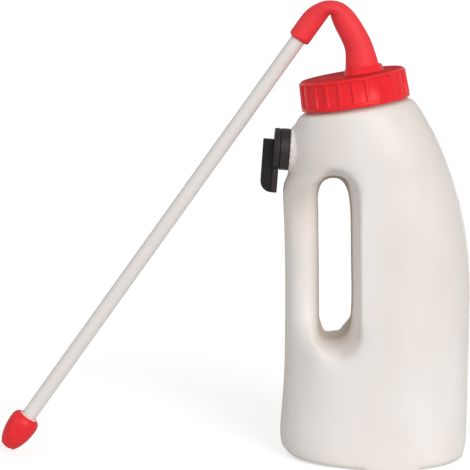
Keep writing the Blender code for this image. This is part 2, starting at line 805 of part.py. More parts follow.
def elbow_stations():
    # Sections of the folded tube in the neck's frame, from the cap to the probe. Each is
    # (middle, direction from the inner to the outer side, thickness, natural radius, bore radius).
    base = Vector((OUTLET_OFFSET, outlet_seat() + SEAT_GAP))
    apex = Vector((ELBOW_APEX_ACROSS, ELBOW_APEX_UP))
    end = Vector((ELBOW_END_ACROSS, ELBOW_END_UP))
    lean = probe_lean_in_neck()
    probe_up = Vector((math.sin(lean), math.cos(lean)))
    start_angle = ELBOW_LEG_LEAN
    end_angle = math.pi - lean
    spigot_bore = SPIGOT_RADIUS + SEAT_GAP
    fold_bore = ELBOW_FOLD_RADIUS - ELBOW_WALL
    socket_bore = PROBE_RADIUS + SEAT_GAP

    fold_dir = Vector((math.cos(start_angle), math.sin(start_angle)))
    fold_middle = apex + fold_dir * (ELBOW_CREASE + ELBOW_FOLD_SIDE) / 2
    fold_up = Vector((-fold_dir.y, fold_dir.x))
    straight = base + Vector((0, SPIGOT_HEIGHT))
    handle_low = straight + Vector((0, ELBOW_LOW_HANDLE))
    handle_high = fold_middle - fold_up * ELBOW_HIGH_HANDLE

    stations = []
    for share in (0.0, 0.35, 0.8):
        flare = mix(ELBOW_BASE_RADIUS, ELBOW_LEG_RADIUS, smooth_step(share * SPIGOT_HEIGHT / ELBOW_FLARE_HEIGHT))
        stations.append((base + Vector((0, SPIGOT_HEIGHT * share)), Vector((1, 0)), 2 * flare, flare, spigot_bore))
    for t in (0.0, 0.3, 0.6, 0.82):
        middle = straight * (1 - t)**3 + handle_low * 3 * t * (1 - t)**2 + handle_high * 3 * t**2 * (1 - t)
        middle += fold_middle * t**3
        turn = start_angle * t
        radius = mix(ELBOW_LEG_RADIUS, ELBOW_FOLD_RADIUS, t)
        bore = mix(spigot_bore, fold_bore, t)
        stations.append((middle, Vector((math.cos(turn), math.sin(turn))), 2 * radius, radius, bore))
    for i in range(7):
        t = i / 6
        angle = mix(start_angle, end_angle, t)
        outward = Vector((math.cos(angle), math.sin(angle)))
        reach = mix(ELBOW_CREST, ELBOW_FOLD_SIDE, (2 * t - 1)**2)
        middle = apex + outward * (ELBOW_CREASE + reach) / 2
        stations.append((middle, outward, reach - ELBOW_CREASE, ELBOW_FOLD_RADIUS, fold_bore))
    side = Vector((-probe_up.y, probe_up.x))
    fan_height = (apex - end).dot(probe_up)
    for share in (0.83, 0.68, 0.34, 0.0):
        radius = mix(ELBOW_END_RADIUS, ELBOW_FOLD_RADIUS * 0.98, share / 0.83)
        bore = socket_bore if share < 0.7 else mix(socket_bore, fold_bore, 0.5)
        stations.append((end + probe_up * fan_height * share, side, 2 * radius, radius, bore))
    return stations


def flattened_width(natural_radius, thickness):
    # A squeezed tube keeps its girth, so it widens as it flattens
    if thickness >= 2 * natural_radius:
        return 2 * natural_radius
    return thickness + math.pi / 2 * (2 * natural_radius - thickness)


def elbow_ring(station, inside, count=20):
    middle, outward, thickness, natural, bore = station
    width = flattened_width(natural, thickness)
    if inside:
        squeeze = thickness / (2 * natural)
        width -= 2 * (natural - bore)
        thickness -= 2 * mix(ELBOW_WALL * 0.9, natural - bore, smooth_step((squeeze - 0.6) / 0.4))
    points = []
    for i in range(count):
        turn = 2 * math.pi * i / count
        in_plane = middle + outward * math.cos(turn) * thickness / 2
        points.append(Vector((in_plane.x, math.sin(turn) * width / 2, in_plane.y)))
    return points


def elbow_length():
    middles = [station[0] for station in elbow_stations()]
    return sum((b - a).length for a, b in zip(middles, middles[1:]))


def make_elbow(neck_frame):
    stations = elbow_stations()
    rings = [elbow_ring(station, False) for station in stations]
    rings += [elbow_ring(station, True) for station in reversed(stations)]
    return add_object("rubber_elbow", lofted(rings), neck_frame, red_rubber("red_rubber"))


def elbow_pivot():
    # The elbow keeps its length as it straightens, which fixes the point that the probe turns about:
    # the centre of the one turn that carries the socket from its hanging place to the straight one
    lean = probe_lean_in_neck()
    turn = math.pi - lean
    hanging = Vector((ELBOW_END_ACROSS, ELBOW_END_UP))
    straight = Vector((OUTLET_OFFSET, outlet_seat() + elbow_length()))
    chord = straight - hanging
    to_right = Vector((chord.y, -chord.x))
    return (hanging + straight) / 2 + to_right / (2 * math.tan(turn / 2))


# Probe and tip

def make_probe(probe_frame):
    # The probe's Z runs from the elbow's mouth towards the tip
    low = -PROBE_SOCKET
    high = PROBE_SHOWN + TIP_SOCKET
    chamfer = 0.0008
    profile = [
        (PROBE_BORE_RADIUS, low), (PROBE_RADIUS - chamfer, low), (PROBE_RADIUS, low + chamfer),
        (PROBE_RADIUS, high - chamfer), (PROBE_RADIUS - chamfer, high), (PROBE_BORE_RADIUS, high),
    ]
    return add_object("probe_tube", turned(profile, 24), probe_frame, tube_plastic("tube_plastic"))


def tip_profile():
    # (radius, distance from the mouth of the tip's socket)
    socket = PROBE_RADIUS + SEAT_GAP
    lip = 0.0012
    full = TIP_RADIUS
    shapes = [(0.84, 0.065), (0.96, 0.155), (1.0, 0.30), (0.975, 0.50), (0.90, 0.68), (0.80, 0.84), (0.705, 0.94)]
    outer = [(socket + lip * 0.5, 0.0), (socket + lip * 1.6, 0.0006)]
    outer += [(full * radius, TIP_LENGTH * along) for radius, along in shapes]
    outer += [(full * 0.58, TIP_LENGTH * 0.985), (full * 0.47, TIP_LENGTH)]
    inner = [(TIP_MOUTH_RADIUS, TIP_LENGTH - 0.0008), (TIP_MOUTH_RADIUS, TIP_SOCKET + 0.003),
             (socket, TIP_SOCKET + SEAT_GAP), (socket, 0.0006)]
    return outer + inner


def make_tip(probe_frame):
    tip = add_object("probe_tip", turned(tip_profile(), 28), probe_frame, glossy_red("soft_red"))
    place = Matrix.Translation((0, 0, PROBE_SHOWN))
    tip.matrix_local = place
    for index in range(TIP_NOTCHES // 2):
        bm = bmesh.new()
        turn = Matrix.Rotation(2 * math.pi * index / TIP_NOTCHES + math.radians(20), 4, "Z")
        stretch = Matrix.Diagonal((1, 1, TIP_NOTCH_DEPTH / (TIP_NOTCH_WIDTH / 2), 1))
        lie = Matrix.Rotation(math.pi / 2, 4, "X")
        bmesh.ops.create_cone(
            bm, cap_ends=True, segments=16, radius1=TIP_NOTCH_WIDTH / 2, radius2=TIP_NOTCH_WIDTH / 2,
            depth=4 * TIP_RADIUS, matrix=place @ Matrix.Translation((0, 0, TIP_LENGTH)) @ turn @ stretch @ lie,
        )
        add_boolean(tip, add_cutter("tip_notch_%d" % index, bm, probe_frame), "DIFFERENCE")
    return tip


# Valve

def make_valve_body(valve_frame):
    # Rear disc with a pocket behind for the gasket and one in front for the seal, on a round shank
    low = SEAT_GAP
    high = low + VALVE_DISC
    gasket_radius = gasket_outer() + SEAT_GAP
    seal_radius = seal_outer() + SEAT_GAP
    spindle = SPINDLE_RADIUS + SEAT_GAP
    edge = 0.0007
    profile = [
        (spindle, -SHANK_LENGTH), (SHANK_RADIUS - edge, -SHANK_LENGTH), (SHANK_RADIUS, -SHANK_LENGTH + edge),
        (SHANK_RADIUS, low + VALVE_GASKET_THICKNESS + SEAT_GAP), (gasket_radius, low + VALVE_GASKET_THICKNESS + SEAT_GAP),
        (gasket_radius, low), (VALVE_RADIUS - edge, low), (VALVE_RADIUS, low + edge), (VALVE_RADIUS, high - edge),
        (VALVE_RADIUS - edge, high), (seal_radius, high), (seal_radius, high - SEAL_THICKNESS),
        (spindle, high - SEAL_THICKNESS),
    ]
    body = add_object("valve_body", turned(profile, 40), valve_frame, black_plastic("black_plastic"))
    vent = cylinder(VENT_RADIUS, -SHANK_LENGTH - 0.002, high + 0.002, 12, (-VENT_OFFSET, 0.0))
    add_boolean(body, add_cutter("vent_bore", vent, valve_frame), "DIFFERENCE")
    return body


def gasket_outer():
    return VALVE_RADIUS * 0.80


def seal_outer():
    return VALVE_RADIUS * 0.62


def lever_plane():
    # Where the turning disc starts, in front of the rear disc
    return SEAT_GAP + VALVE_DISC + 2 * SEAT_GAP


def make_valve_gasket(valve_frame):
    low = SEAT_GAP
    profile = [
        (SHANK_RADIUS + SEAT_GAP, low), (gasket_outer(), low), (gasket_outer(), low + VALVE_GASKET_THICKNESS),
        (SHANK_RADIUS + SEAT_GAP, low + VALVE_GASKET_THICKNESS),
    ]
    return add_object("valve_gasket", turned(profile), valve_frame, grey_rubber("valve_rubber"))


def make_valve_nut(valve_frame):
    high = -VALVE_BOSS_WALL - SEAT_GAP
    bm = bmesh.new()
    corner = NUT_ACROSS_FLATS / math.sqrt(3)
    place = Matrix.Translation((0, 0, high - NUT_HEIGHT / 2))
    bmesh.ops.create_cone(
        bm, cap_ends=True, segments=6, radius1=corner, radius2=corner, depth=NUT_HEIGHT, matrix=place,
    )
    nut = add_object("valve_nut", bm, valve_frame, black_plastic("nut_plastic"))
    bore = cylinder(SHANK_RADIUS + SEAT_GAP, high - NUT_HEIGHT - 0.002, high + 0.002)
    add_boolean(nut, add_cutter("nut_bore", bore, valve_frame), "DIFFERENCE")
    return nut


def make_valve_seal(valve_frame):
    low = SEAT_GAP + VALVE_DISC - SEAL_THICKNESS + SEAT_GAP
    high = low + SEAL_THICKNESS - SEAT_GAP
    inner = SPINDLE_RADIUS + 2 * SEAT_GAP
    profile = [(inner, low), (seal_outer(), low), (seal_outer(), high), (inner, high)]
    seal = add_object("valve_seal", turned(profile), valve_frame, grey_rubber("seal_rubber"))
    vent = cylinder(VENT_RADIUS, low - 0.002, high + 0.002, 12, (-VENT_OFFSET, 0.0))
    add_boolean(seal, add_cutter("seal_vent", vent, valve_frame), "DIFFERENCE")
    return seal


def lever_fin():
    # The thumb fin, in the plane of the axis: up past the middle, down to a rounded corner
    low = lever_plane()
    front = low + VALVE_DISC + LEVER_PROUD
    outline = [(-LEVER_RISE, low + VALVE_DISC * 0.5), (LEVER_REACH, low + VALVE_DISC * 0.5)]
    centre = Vector((LEVER_REACH - LEVER_CORNER, front - LEVER_CORNER))
    for i in range(9):
        turn = math.pi / 2 * i / 8
        outline.append((centre.x + LEVER_CORNER * math.cos(turn), centre.y + LEVER_CORNER * math.sin(turn)))
    outline.append((-LEVER_RISE, front))
    return extruded(outline, FIN_THICKNESS)


def extruded(outline, thickness):
    # A plate from (x, z) points, centred on Y, with softened edges
    bm = bmesh.new()
    face = bm.faces.new([bm.verts.new((x, -thickness / 2, z)) for x, z in outline])
    made = bmesh.ops.extrude_face_region(bm, geom=[face])["geom"]
    bmesh.ops.translate(bm, vec=(0, thickness, 0), verts=[v for v in made if isinstance(v, bmesh.types.BMVert)])
    bmesh.ops.recalc_face_normals(bm, faces=bm.faces)
    rim = [edge for edge in bm.edges if edge.calc_face_angle() > math.radians(60)]
    bmesh.ops.bevel(bm, geom=rim, offset=0.0007, segments=2, profile=0.5, affect="EDGES", material=-1)
    return bm


def lever_arm():
    # The arm carries the disc's own thickness down to the fin's end, drawing in as it goes
    low = lever_plane()
    high = low + VALVE_DISC
    half = ARM_WIDTH / 2
    bm = bmesh.new()
    points = [(0.0, -half), (LEVER_REACH - 0.004, -half * 0.82), (LEVER_REACH, -half * 0.60),
              (LEVER_REACH, half * 0.60), (LEVER_REACH - 0.004, half * 0.82), (0.0, half)]
    face = bm.faces.new([bm.verts.new((x, y, low)) for x, y in points])
    made = bmesh.ops.extrude_face_region(bm, geom=[face])["geom"]
    bmesh.ops.translate(bm, vec=(0, 0, high - low), verts=[v for v in made if isinstance(v, bmesh.types.BMVert)])
    bmesh.ops.recalc_face_normals(bm, faces=bm.faces)
    return bm


def make_valve_lever(valve_frame):
    low = lever_plane()
    high = low + VALVE_DISC
    edge = 0.0009
    tail = -SHANK_LENGTH - SPINDLE_TAIL
    groove_high = -SHANK_LENGTH - SEAT_GAP + 0.0001
    groove_low = groove_high - CLIP_THICKNESS - 2 * SEAT_GAP
    neck = SPINDLE_RADIUS - 0.0009
    profile = [
        (0, tail), (SPINDLE_RADIUS - 0.0005, tail), (SPINDLE_RADIUS, tail + 0.0005), (SPINDLE_RADIUS, groove_low),
        (neck, groove_low), (neck, groove_high), (SPINDLE_RADIUS, groove_high), (SPINDLE_RADIUS, low),
        (VALVE_RADIUS - edge, low), (VALVE_RADIUS, low + edge), (VALVE_RADIUS, high - edge),
        (VALVE_RADIUS - edge, high), (0, high),
    ]
    lever = add_object("valve_lever", turned(profile, 40), valve_frame, black_plastic("lever_plastic"))
    add_boolean(lever, add_cutter("arm_form", lever_arm(), valve_frame), "UNION")
    add_boolean(lever, add_cutter("fin_form", lever_fin(), valve_frame), "UNION")
    vent = cylinder(VENT_RADIUS, low - 0.002, high + 0.002, 12, (0.0, VENT_OFFSET))
    add_boolean(lever, add_cutter("lever_vent", vent, valve_frame), "DIFFERENCE")
    return lever


def make_valve_clip(valve_frame):
    # A split retaining ring in the spindle's groove
    high = -SHANK_LENGTH - 2 * SEAT_GAP + 0.0001
    low = high - CLIP_THICKNESS
    inner = SPINDLE_RADIUS - 0.0009 + SEAT_GAP
    profile = [(inner, low), (inner + CLIP_WIDTH, low), (inner + CLIP_WIDTH, high), (inner, high)]
    clip = add_object("valve_clip", turned(profile), valve_frame, spring_steel("spring_steel"))
    gap = add_cutter("clip_gap", box((0, -0.0018, low - 0.002), (0.02, 0.0018, high + 0.002)), valve_frame)
    add_boolean(clip, gap, "DIFFERENCE")
    return clip


# Assembly

def build():
    clear_scene()
    stand = add_empty("stand", None, Matrix.Translation((STAND_X, 0, 0)))
    neck_frame = add_empty("neck_axis", stand, neck_matrix())
    valve_frame = add_empty("valve_axis", stand, valve_matrix())
    bpy.context.view_layer.update()

    make_bottle(stand, valve_frame)
    make_cap(neck_frame)
    make_cap_gasket(neck_frame)
    make_elbow(neck_frame)

    pivot = elbow_pivot()
    elbow_axis = add_empty("elbow_axis", neck_frame, Matrix.Translation((pivot.x, 0, pivot.y)))
    mouth = Vector((ELBOW_END_ACROSS - pivot.x, 0, ELBOW_END_UP - pivot.y))
    hang = Matrix.Rotation(math.pi + probe_lean_in_neck(), 4, "Y")
    probe_frame = add_empty("probe_line", elbow_axis, Matrix.Translation(mouth) @ hang)
    make_probe(probe_frame)
    make_tip(probe_frame)

    make_valve_body(valve_frame)
    make_valve_gasket(valve_frame)
    make_valve_nut(valve_frame)
    make_valve_seal(valve_frame)
    make_valve_lever(valve_frame)
    make_valve_clip(valve_frame)
    bpy.context.view_layer.update()


build()
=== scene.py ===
import math

import bmesh
import bpy
from mathutils import Matrix, Vector


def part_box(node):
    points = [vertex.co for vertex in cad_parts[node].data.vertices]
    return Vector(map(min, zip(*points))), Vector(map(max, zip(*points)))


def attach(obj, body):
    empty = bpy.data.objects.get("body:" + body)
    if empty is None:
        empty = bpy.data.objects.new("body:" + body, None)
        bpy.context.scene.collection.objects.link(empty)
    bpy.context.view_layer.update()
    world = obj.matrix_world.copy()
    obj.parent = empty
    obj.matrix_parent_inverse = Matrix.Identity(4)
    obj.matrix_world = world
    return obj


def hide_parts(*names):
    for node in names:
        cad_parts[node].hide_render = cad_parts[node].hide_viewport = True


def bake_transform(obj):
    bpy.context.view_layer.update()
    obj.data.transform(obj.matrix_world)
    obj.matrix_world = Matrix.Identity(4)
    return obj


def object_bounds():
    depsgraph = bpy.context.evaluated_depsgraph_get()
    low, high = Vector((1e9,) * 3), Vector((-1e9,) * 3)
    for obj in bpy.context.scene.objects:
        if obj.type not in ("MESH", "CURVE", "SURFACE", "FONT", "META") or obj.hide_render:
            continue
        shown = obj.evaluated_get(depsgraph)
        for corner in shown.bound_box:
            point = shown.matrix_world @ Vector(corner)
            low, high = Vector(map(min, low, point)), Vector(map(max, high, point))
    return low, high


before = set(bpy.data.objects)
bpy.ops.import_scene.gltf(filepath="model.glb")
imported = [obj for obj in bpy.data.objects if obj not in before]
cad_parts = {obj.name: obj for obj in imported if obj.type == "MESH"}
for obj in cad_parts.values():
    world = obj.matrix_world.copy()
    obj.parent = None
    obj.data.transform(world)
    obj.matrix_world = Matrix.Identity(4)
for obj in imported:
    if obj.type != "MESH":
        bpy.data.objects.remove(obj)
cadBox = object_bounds()

# where things stand, in metres and degrees, as the solids have them
neckSpot = {"place": (0.114, 0, 0.3345), "lean": 8.9}
valveSpot = {"place": (0.052675, 0, 0.2914), "tilt": 4.0}
probeSpot = {"mouth": (0.0599, 0, 0.393024), "lean": 35.5, "shown": 0.437}

# corners closer than this are one
mergeDistance = 1e-6


# helpers

def neckMatrix():
    return Matrix.Translation(neckSpot["place"]) @ Matrix.Rotation(math.radians(-neckSpot["lean"]), 4, "Y")


def valveMatrix():
    # Z points out of the bottle, X down along the lever
    tilt = math.radians(valveSpot["tilt"])
    outward = Vector((-math.cos(tilt), 0, math.sin(tilt)))
    down = Vector((-math.sin(tilt), 0, -math.cos(tilt)))
    turn = Matrix((down, outward.cross(down), outward)).transposed().to_4x4()
    return Matrix.Translation(valveSpot["place"]) @ turn


def probeMatrix():
    # Z runs from the elbow's mouth to the tip
    turn = Matrix.Rotation(math.pi + math.radians(probeSpot["lean"]), 4, "Y")
    return Matrix.Translation(probeSpot["mouth"]) @ turn


def smoothStep(value):
    value = min(max(value, 0.0), 1.0)
    return value * value * (3 - 2 * value)


def within(value, low, high, ease):
    # 1 from low to high, and 0 beyond the ease on both sides
    return smoothStep((value - low) / ease + 1) * smoothStep((high - value) / ease + 1)


def neighbours(run, closed):
    # each item with the next, and the last with the first where the run is closed
    return list(zip(run, run[1:] + (run[:1] if closed else [])))


def spinProfile(points, steps, closed=False):
    # spins (radius, height) points once round Z
    bm = bmesh.new()
    verts = [bm.verts.new((radius, 0, height)) for radius, height in points]
    edges = [bm.edges.new(pair) for pair in neighbours(verts, closed)]
    bmesh.ops.spin(bm, geom=verts + edges, cent=(0, 0, 0), axis=(0, 0, 1),
                   angle=2 * math.pi, steps=steps, use_merge=True)
    bmesh.ops.remove_doubles(bm, verts=bm.verts, dist=mergeDistance)
    bmesh.ops.dissolve_degenerate(bm, dist=1e-7, edges=bm.edges)
    bmesh.ops.recalc_face_normals(bm, faces=bm.faces)
    return bm


def extrudeBy(bm, faces, move):
    made = bmesh.ops.extrude_face_region(bm, geom=faces)["geom"]
    bmesh.ops.translate(bm, vec=move, verts=[g for g in made if isinstance(g, bmesh.types.BMVert)])


def makeSlab(corners, move):
    # a flat face through the corners, drawn out by the move
    bm = bmesh.new()
    face = bm.faces.new([bm.verts.new(corner) for corner in corners])
    extrudeBy(bm, [face], move)
    bmesh.ops.recalc_face_normals(bm, faces=bm.faces)
    return bm


def softenEdges(bm, width, segments, angle):
    limit = math.radians(angle)
    sharp = [e for e in bm.edges if len(e.link_faces) == 2 and e.calc_face_angle() > limit]
    bmesh.ops.bevel(bm, geom=sharp, offset=width, offset_type="OFFSET", segments=segments,
                    profile=0.5, affect="EDGES", clamp_overlap=True, material=-1)


def newMesh(name, bm):
    mesh = bpy.data.meshes.new(name)
    bm.to_mesh(mesh)
    bm.free()
    return mesh


def newObject(name, data):
    thing = bpy.data.objects.new(name, data)
    bpy.context.scene.collection.objects.link(thing)
    return thing


def addPiece(bm, name, matrix, body, material, smoothAngle=40):
    bmesh.ops.transform(bm, matrix=matrix, verts=bm.verts)
    mesh = newMesh(name, bm)
    mesh.shade_smooth()
    if smoothAngle:
        mesh.set_sharp_from_angle(angle=math.radians(smoothAngle))
    piece = newObject(name, mesh)
    mesh.materials.append(material)
    if body:
        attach(piece, body)
    return piece


def addModifier(piece, kind, **values):
    modifier = piece.modifiers.new(kind.lower(), kind)
    for key, value in values.items():
        setattr(modifier, key, value)


def bakeModifiers(piece):
    # keeps the shape that the modifiers give, and drops them
    bpy.context.view_layer.update()
    shaped = piece.evaluated_get(bpy.context.evaluated_depsgraph_get())
    mesh = bpy.data.meshes.new_from_object(shaped)
    piece.modifiers.clear()
    piece.data = mesh


def cutHoles(piece, forms):
    # takes each closed form away from the piece
    cutters = [newObject("cutForm", newMesh("cutForm", form)) for form in forms]
    for cutter in cutters:
        addModifier(piece, "BOOLEAN", operation="DIFFERENCE", solver="EXACT", use_self=True, object=cutter)
    bakeModifiers(piece)
    for cutter in cutters:
        bpy.data.objects.remove(cutter)


def makeThread(name, v, body, material):
    # a raised thread on the neck's axis: a small closed profile of (out, up) points wound upwards
    bm = bmesh.new()
    verts = [bm.verts.new((v["radius"] + out, 0, v["low"] + up)) for out, up in v["profile"]]
    edges = [bm.edges.new(pair) for pair in neighbours(verts, True)]
    face = bm.faces.new(verts)
    steps = int(v["stepsPerTurn"] * v["turns"])
    bmesh.ops.spin(bm, geom=verts + edges + [face], cent=(0, 0, 0), axis=(0, 0, 1), use_duplicate=False,
                   angle=2 * math.pi * v["turns"], steps=steps, dvec=(0, 0, v["pitch"] * v["turns"] / steps))
    bmesh.ops.remove_doubles(bm, verts=bm.verts, dist=mergeDistance)
    bmesh.ops.recalc_face_normals(bm, faces=bm.faces)
    addPiece(bm, name, neckMatrix(), body, material, 30)


# shader groups

def newGroup(name, inputs, outputs):
    group = bpy.data.node_groups.new(name, "ShaderNodeTree")
    for label, kind, value in inputs:
        group.interface.new_socket(name=label, in_out="INPUT", socket_type=kind).default_value = value
    for label, kind in outputs:
        group.interface.new_socket(name=label, in_out="OUTPUT", socket_type=kind)
    enter = group.nodes.new("NodeGroupInput")
    leave = group.nodes.new("NodeGroupOutput")
    return group, enter, leave


def mathNode(tree, operation, first, second, clamp=False):
    node = tree.nodes.new("ShaderNodeMath")
    node.operation = operation
    node.use_clamp = clamp
    for socket, value in zip(node.inputs, (first, second)):
        if isinstance(value, (int, float)):
            socket.default_value = value
        else:
            tree.links.new(value, socket)
    return node.outputs[0]


def makeGrainGroup():
    # fine moulded or matt texture: a height for bump, and a small change of roughness and tone
    group, enter, leave = newGroup(
        "mouldGrain",
        [("Fine Scale", "NodeSocketFloat", 900.0), ("Broad Scale", "NodeSocketFloat", 25.0),
         ("Fine Share", "NodeSocketFloat", 0.5), ("Roughness", "NodeSocketFloat", 0.4),
         ("Spread", "NodeSocketFloat", 0.05), ("Stretch", "NodeSocketFloat", 1.0),
         ("Contrast", "NodeSocketFloat", 1.0)],
        [("Height", "NodeSocketFloat"), ("Roughness", "NodeSocketFloat"), ("Tone", "NodeSocketFloat")],
    )
    coords = group.nodes.new("ShaderNodeTexCoord")
    fine = group.nodes.new("ShaderNodeTexNoise")
    broad = group.nodes.new("ShaderNodeTexNoise")
    fine.inputs["Detail"].default_value = 3.0
    broad.inputs["Detail"].default_value = 2.0
    factors = group.nodes.new("ShaderNodeCombineXYZ")
    factors.inputs["X"].default_value = 1.0
    factors.inputs["Y"].default_value = 1.0
    group.links.new(enter.outputs["Stretch"], factors.inputs["Z"])
    stretched = group.nodes.new("ShaderNodeVectorMath")
    stretched.operation = "MULTIPLY"
    group.links.new(coords.outputs["Object"], stretched.inputs[0])
    group.links.new(factors.outputs["Vector"], stretched.inputs[1])
    group.links.new(coords.outputs["Object"], fine.inputs["Vector"])
    group.links.new(stretched.outputs["Vector"], broad.inputs["Vector"])
    for noise, label in ((fine, "Fine Scale"), (broad, "Broad Scale")):
        group.links.new(enter.outputs[label], noise.inputs["Scale"])
    fineHeight = mathNode(group, "MULTIPLY", fine.outputs["Fac"], enter.outputs["Fine Share"])
    broadShare = mathNode(group, "SUBTRACT", 1.0, enter.outputs["Fine Share"])
    broadHeight = mathNode(group, "MULTIPLY", broad.outputs["Fac"], broadShare)
    height = mathNode(group, "ADD", fineHeight, broadHeight)
    centred = mathNode(group, "SUBTRACT", broad.outputs["Fac"], 0.5)
    swing = mathNode(group, "MULTIPLY", centred, enter.outputs["Spread"])
    rough = mathNode(group, "ADD", enter.outputs["Roughness"], swing, clamp=True)
    contrast = mathNode(group, "MULTIPLY", centred, enter.outputs["Contrast"])
    tone = mathNode(group, "ADD", contrast, 0.5, clamp=True)
    group.links.new(height, leave.inputs["Height"])
    group.links.new(rough, leave.inputs["Roughness"])
    group.links.new(tone, leave.inputs["Tone"])
    return group


def makeMaterial(name, values):
    material = bpy.data.materials.new(name)
    material.use_nodes = True
    tree = material.node_tree
    shader = tree.nodes["Principled BSDF"]
    for label, value in values.items():
        shader.inputs[label].default_value = value
    return material, tree, shader


def makeFinish(name, settings):
    # the grain moves the tone between two colours, the roughness and the bump
    material, tree, shader = makeMaterial(name, settings["shader"])
    grain = tree.nodes.new("ShaderNodeGroup")
    grain.node_tree = grainGroup
    for label, value in settings["grain"].items():
        grain.inputs[label].default_value = value
    bump = tree.nodes.new("ShaderNodeBump")
    bump.inputs["Distance"].default_value = settings["depth"]
    bump.inputs["Strength"].default_value = settings["strength"]
    tree.links.new(grain.outputs["Height"], bump.inputs["Height"])
    tree.links.new(bump.outputs["Normal"], shader.inputs["Normal"])
    tree.links.new(grain.outputs["Roughness"], shader.inputs["Roughness"])
    blend = tree.nodes.new("ShaderNodeMix")
    blend.data_type = "RGBA"
    blend.inputs["A"].default_value = (*settings["darker"], 1)
    blend.inputs["B"].default_value = (*settings["lighter"], 1)
    tree.links.new(grain.outputs["Tone"], blend.inputs["Factor"])
    tree.links.new(blend.outputs["Result"], shader.inputs["Base Color"])
    return material


grainGroup = makeGrainGroup()
print("shader groups ready")


# materials

milkyPlastic = makeFinish("milkyPlastic", {
    "shader": {"Subsurface Weight": 0.25, "Subsurface Radius": (1.0, 0.85, 0.7), "Subsurface Scale": 0.005,
               "Specular IOR Level": 0.35, "IOR": 1.5},
    "darker": (0.835, 0.748, 0.675), "lighter": (0.910, 0.868, 0.828), "depth": 0.0004, "strength": 0.25,
    "grain": {"Fine Scale": 700.0, "Broad Scale": 15.0, "Fine Share": 0.12, "Roughness": 0.42, "Spread": 0.08,
              "Stretch": 0.45, "Contrast": 2.2},
})

# the pinch web's plastic: the bottle's beige painted much darker, as painted shade deep in the hand hole
webPaintedShade = makeFinish("webPaintedShade", {
    "shader": {"Specular IOR Level": 0.35, "IOR": 1.5},
    "darker": (0.52, 0.455, 0.395), "lighter": (0.62, 0.56, 0.50), "depth": 0.0003, "strength": 0.25,
    "grain": {"Fine Scale": 700.0, "Broad Scale": 25.0, "Fine Share": 0.2, "Roughness": 0.45, "Spread": 0.08},
})

ridgePlastic = makeFinish("ridgePlastic", {
    "shader": {"Specular IOR Level": 0.35, "IOR": 1.5},
    "darker": (0.78, 0.70, 0.63), "lighter": (0.86, 0.81, 0.77), "depth": 0.0003, "strength": 0.2,
    "grain": {"Fine Scale": 700.0, "Broad Scale": 15.0, "Fine Share": 0.2, "Roughness": 0.42, "Spread": 0.08},
})

tubePlastic = makeFinish("tubePlastic", {
    "shader": {"Subsurface Weight": 0.3, "Subsurface Radius": (1.0, 0.85, 0.75), "Subsurface Scale": 0.004,
               "IOR": 1.5},
    "darker": (0.79, 0.735, 0.690), "lighter": (0.83, 0.79, 0.755), "depth": 0.0002, "strength": 0.2,
    "grain": {"Fine Scale": 500.0, "Broad Scale": 30.0, "Fine Share": 0.2, "Roughness": 0.33, "Spread": 0.06},
})

glossyRed = makeFinish("glossyRed", {
    "shader": {"IOR": 1.5, "Specular IOR Level": 0.4, "Specular Tint": (1.0, 0.42, 0.42, 1)},
    "darker": (0.84, 0.014, 0.020), "lighter": (0.93, 0.034, 0.044), "depth": 0.0002, "strength": 0.25,
    "grain": {"Fine Scale": 800.0, "Broad Scale": 40.0, "Fine Share": 0.25, "Roughness": 0.24,
              "Spread": 0.08},
})

# the cap's flat top, which the mould leaves finely matt; its red is also painted darker than the sides, as
# painted shade on the top
capTopPaintedShadeRed = makeFinish("capTopPaintedShadeRed", {
    "shader": {"IOR": 1.5, "Specular IOR Level": 0.12, "Specular Tint": (1.0, 0.42, 0.42, 1)},
    "darker": (0.60, 0.012, 0.016), "lighter": (0.68, 0.022, 0.027), "depth": 0.0002, "strength": 0.3,
    "grain": {"Fine Scale": 800.0, "Broad Scale": 40.0, "Fine Share": 0.35, "Roughness": 0.62,
              "Spread": 0.08},
})

redRubber = makeFinish("redRubber", {
    "shader": {"Specular IOR Level": 0.22},
    "darker": (0.87, 0.040, 0.052), "lighter": (0.95, 0.056, 0.070), "depth": 0.0003, "strength": 0.35,
    "grain": {"Fine Scale": 1100.0, "Broad Scale": 60.0, "Fine Share": 0.45, "Roughness": 0.55,
              "Spread": 0.1},
})

tipRubber = makeFinish("tipRubber", {
    "shader": {"IOR": 1.5, "Specular IOR Level": 0.3},
    "darker": (0.78, 0.014, 0.018), "lighter": (0.90, 0.030, 0.036), "depth": 0.0002, "strength": 0.3,
    "grain": {"Fine Scale": 900.0, "Broad Scale": 50.0, "Fine Share": 0.3, "Roughness": 0.36, "Spread": 0.08},
})

paleRubber = makeFinish("paleRubber", {
    "shader": {"Specular IOR Level": 0.35, "Subsurface Weight": 0.2, "Subsurface Scale": 0.002},
    "darker": (0.92, 0.58, 0.54), "lighter": (0.96, 0.68, 0.64), "depth": 0.0002, "strength": 0.3,
    "grain": {"Fine Scale": 900.0, "Broad Scale": 80.0, "Fine Share": 0.3, "Roughness": 0.4, "Spread": 0.08},
})

blackPlastic = makeFinish("blackPlastic", {
    "shader": {"IOR": 1.5, "Specular IOR Level": 0.3},
    "darker": (0.0075, 0.0062, 0.0060), "lighter": (0.013, 0.0105, 0.010), "depth": 0.0002, "strength": 0.3,
    "grain": {"Fine Scale": 1000.0, "Broad Scale": 60.0, "Fine Share": 0.4, "Roughness": 0.38, "Spread": 0.1},
})

# the valve's discs and arm, a little paler and browner than the fin
discPlastic = makeFinish("discPlastic", {
    "shader": {"IOR": 1.5, "Specular IOR Level": 0.35},
    "darker": (0.020, 0.0165, 0.0155), "lighter": (0.032, 0.027, 0.0255), "depth": 0.0002, "strength": 0.3,
    "grain": {"Fine Scale": 1000.0, "Broad Scale": 70.0, "Fine Share": 0.4, "Roughness": 0.42, "Spread": 0.1},
})

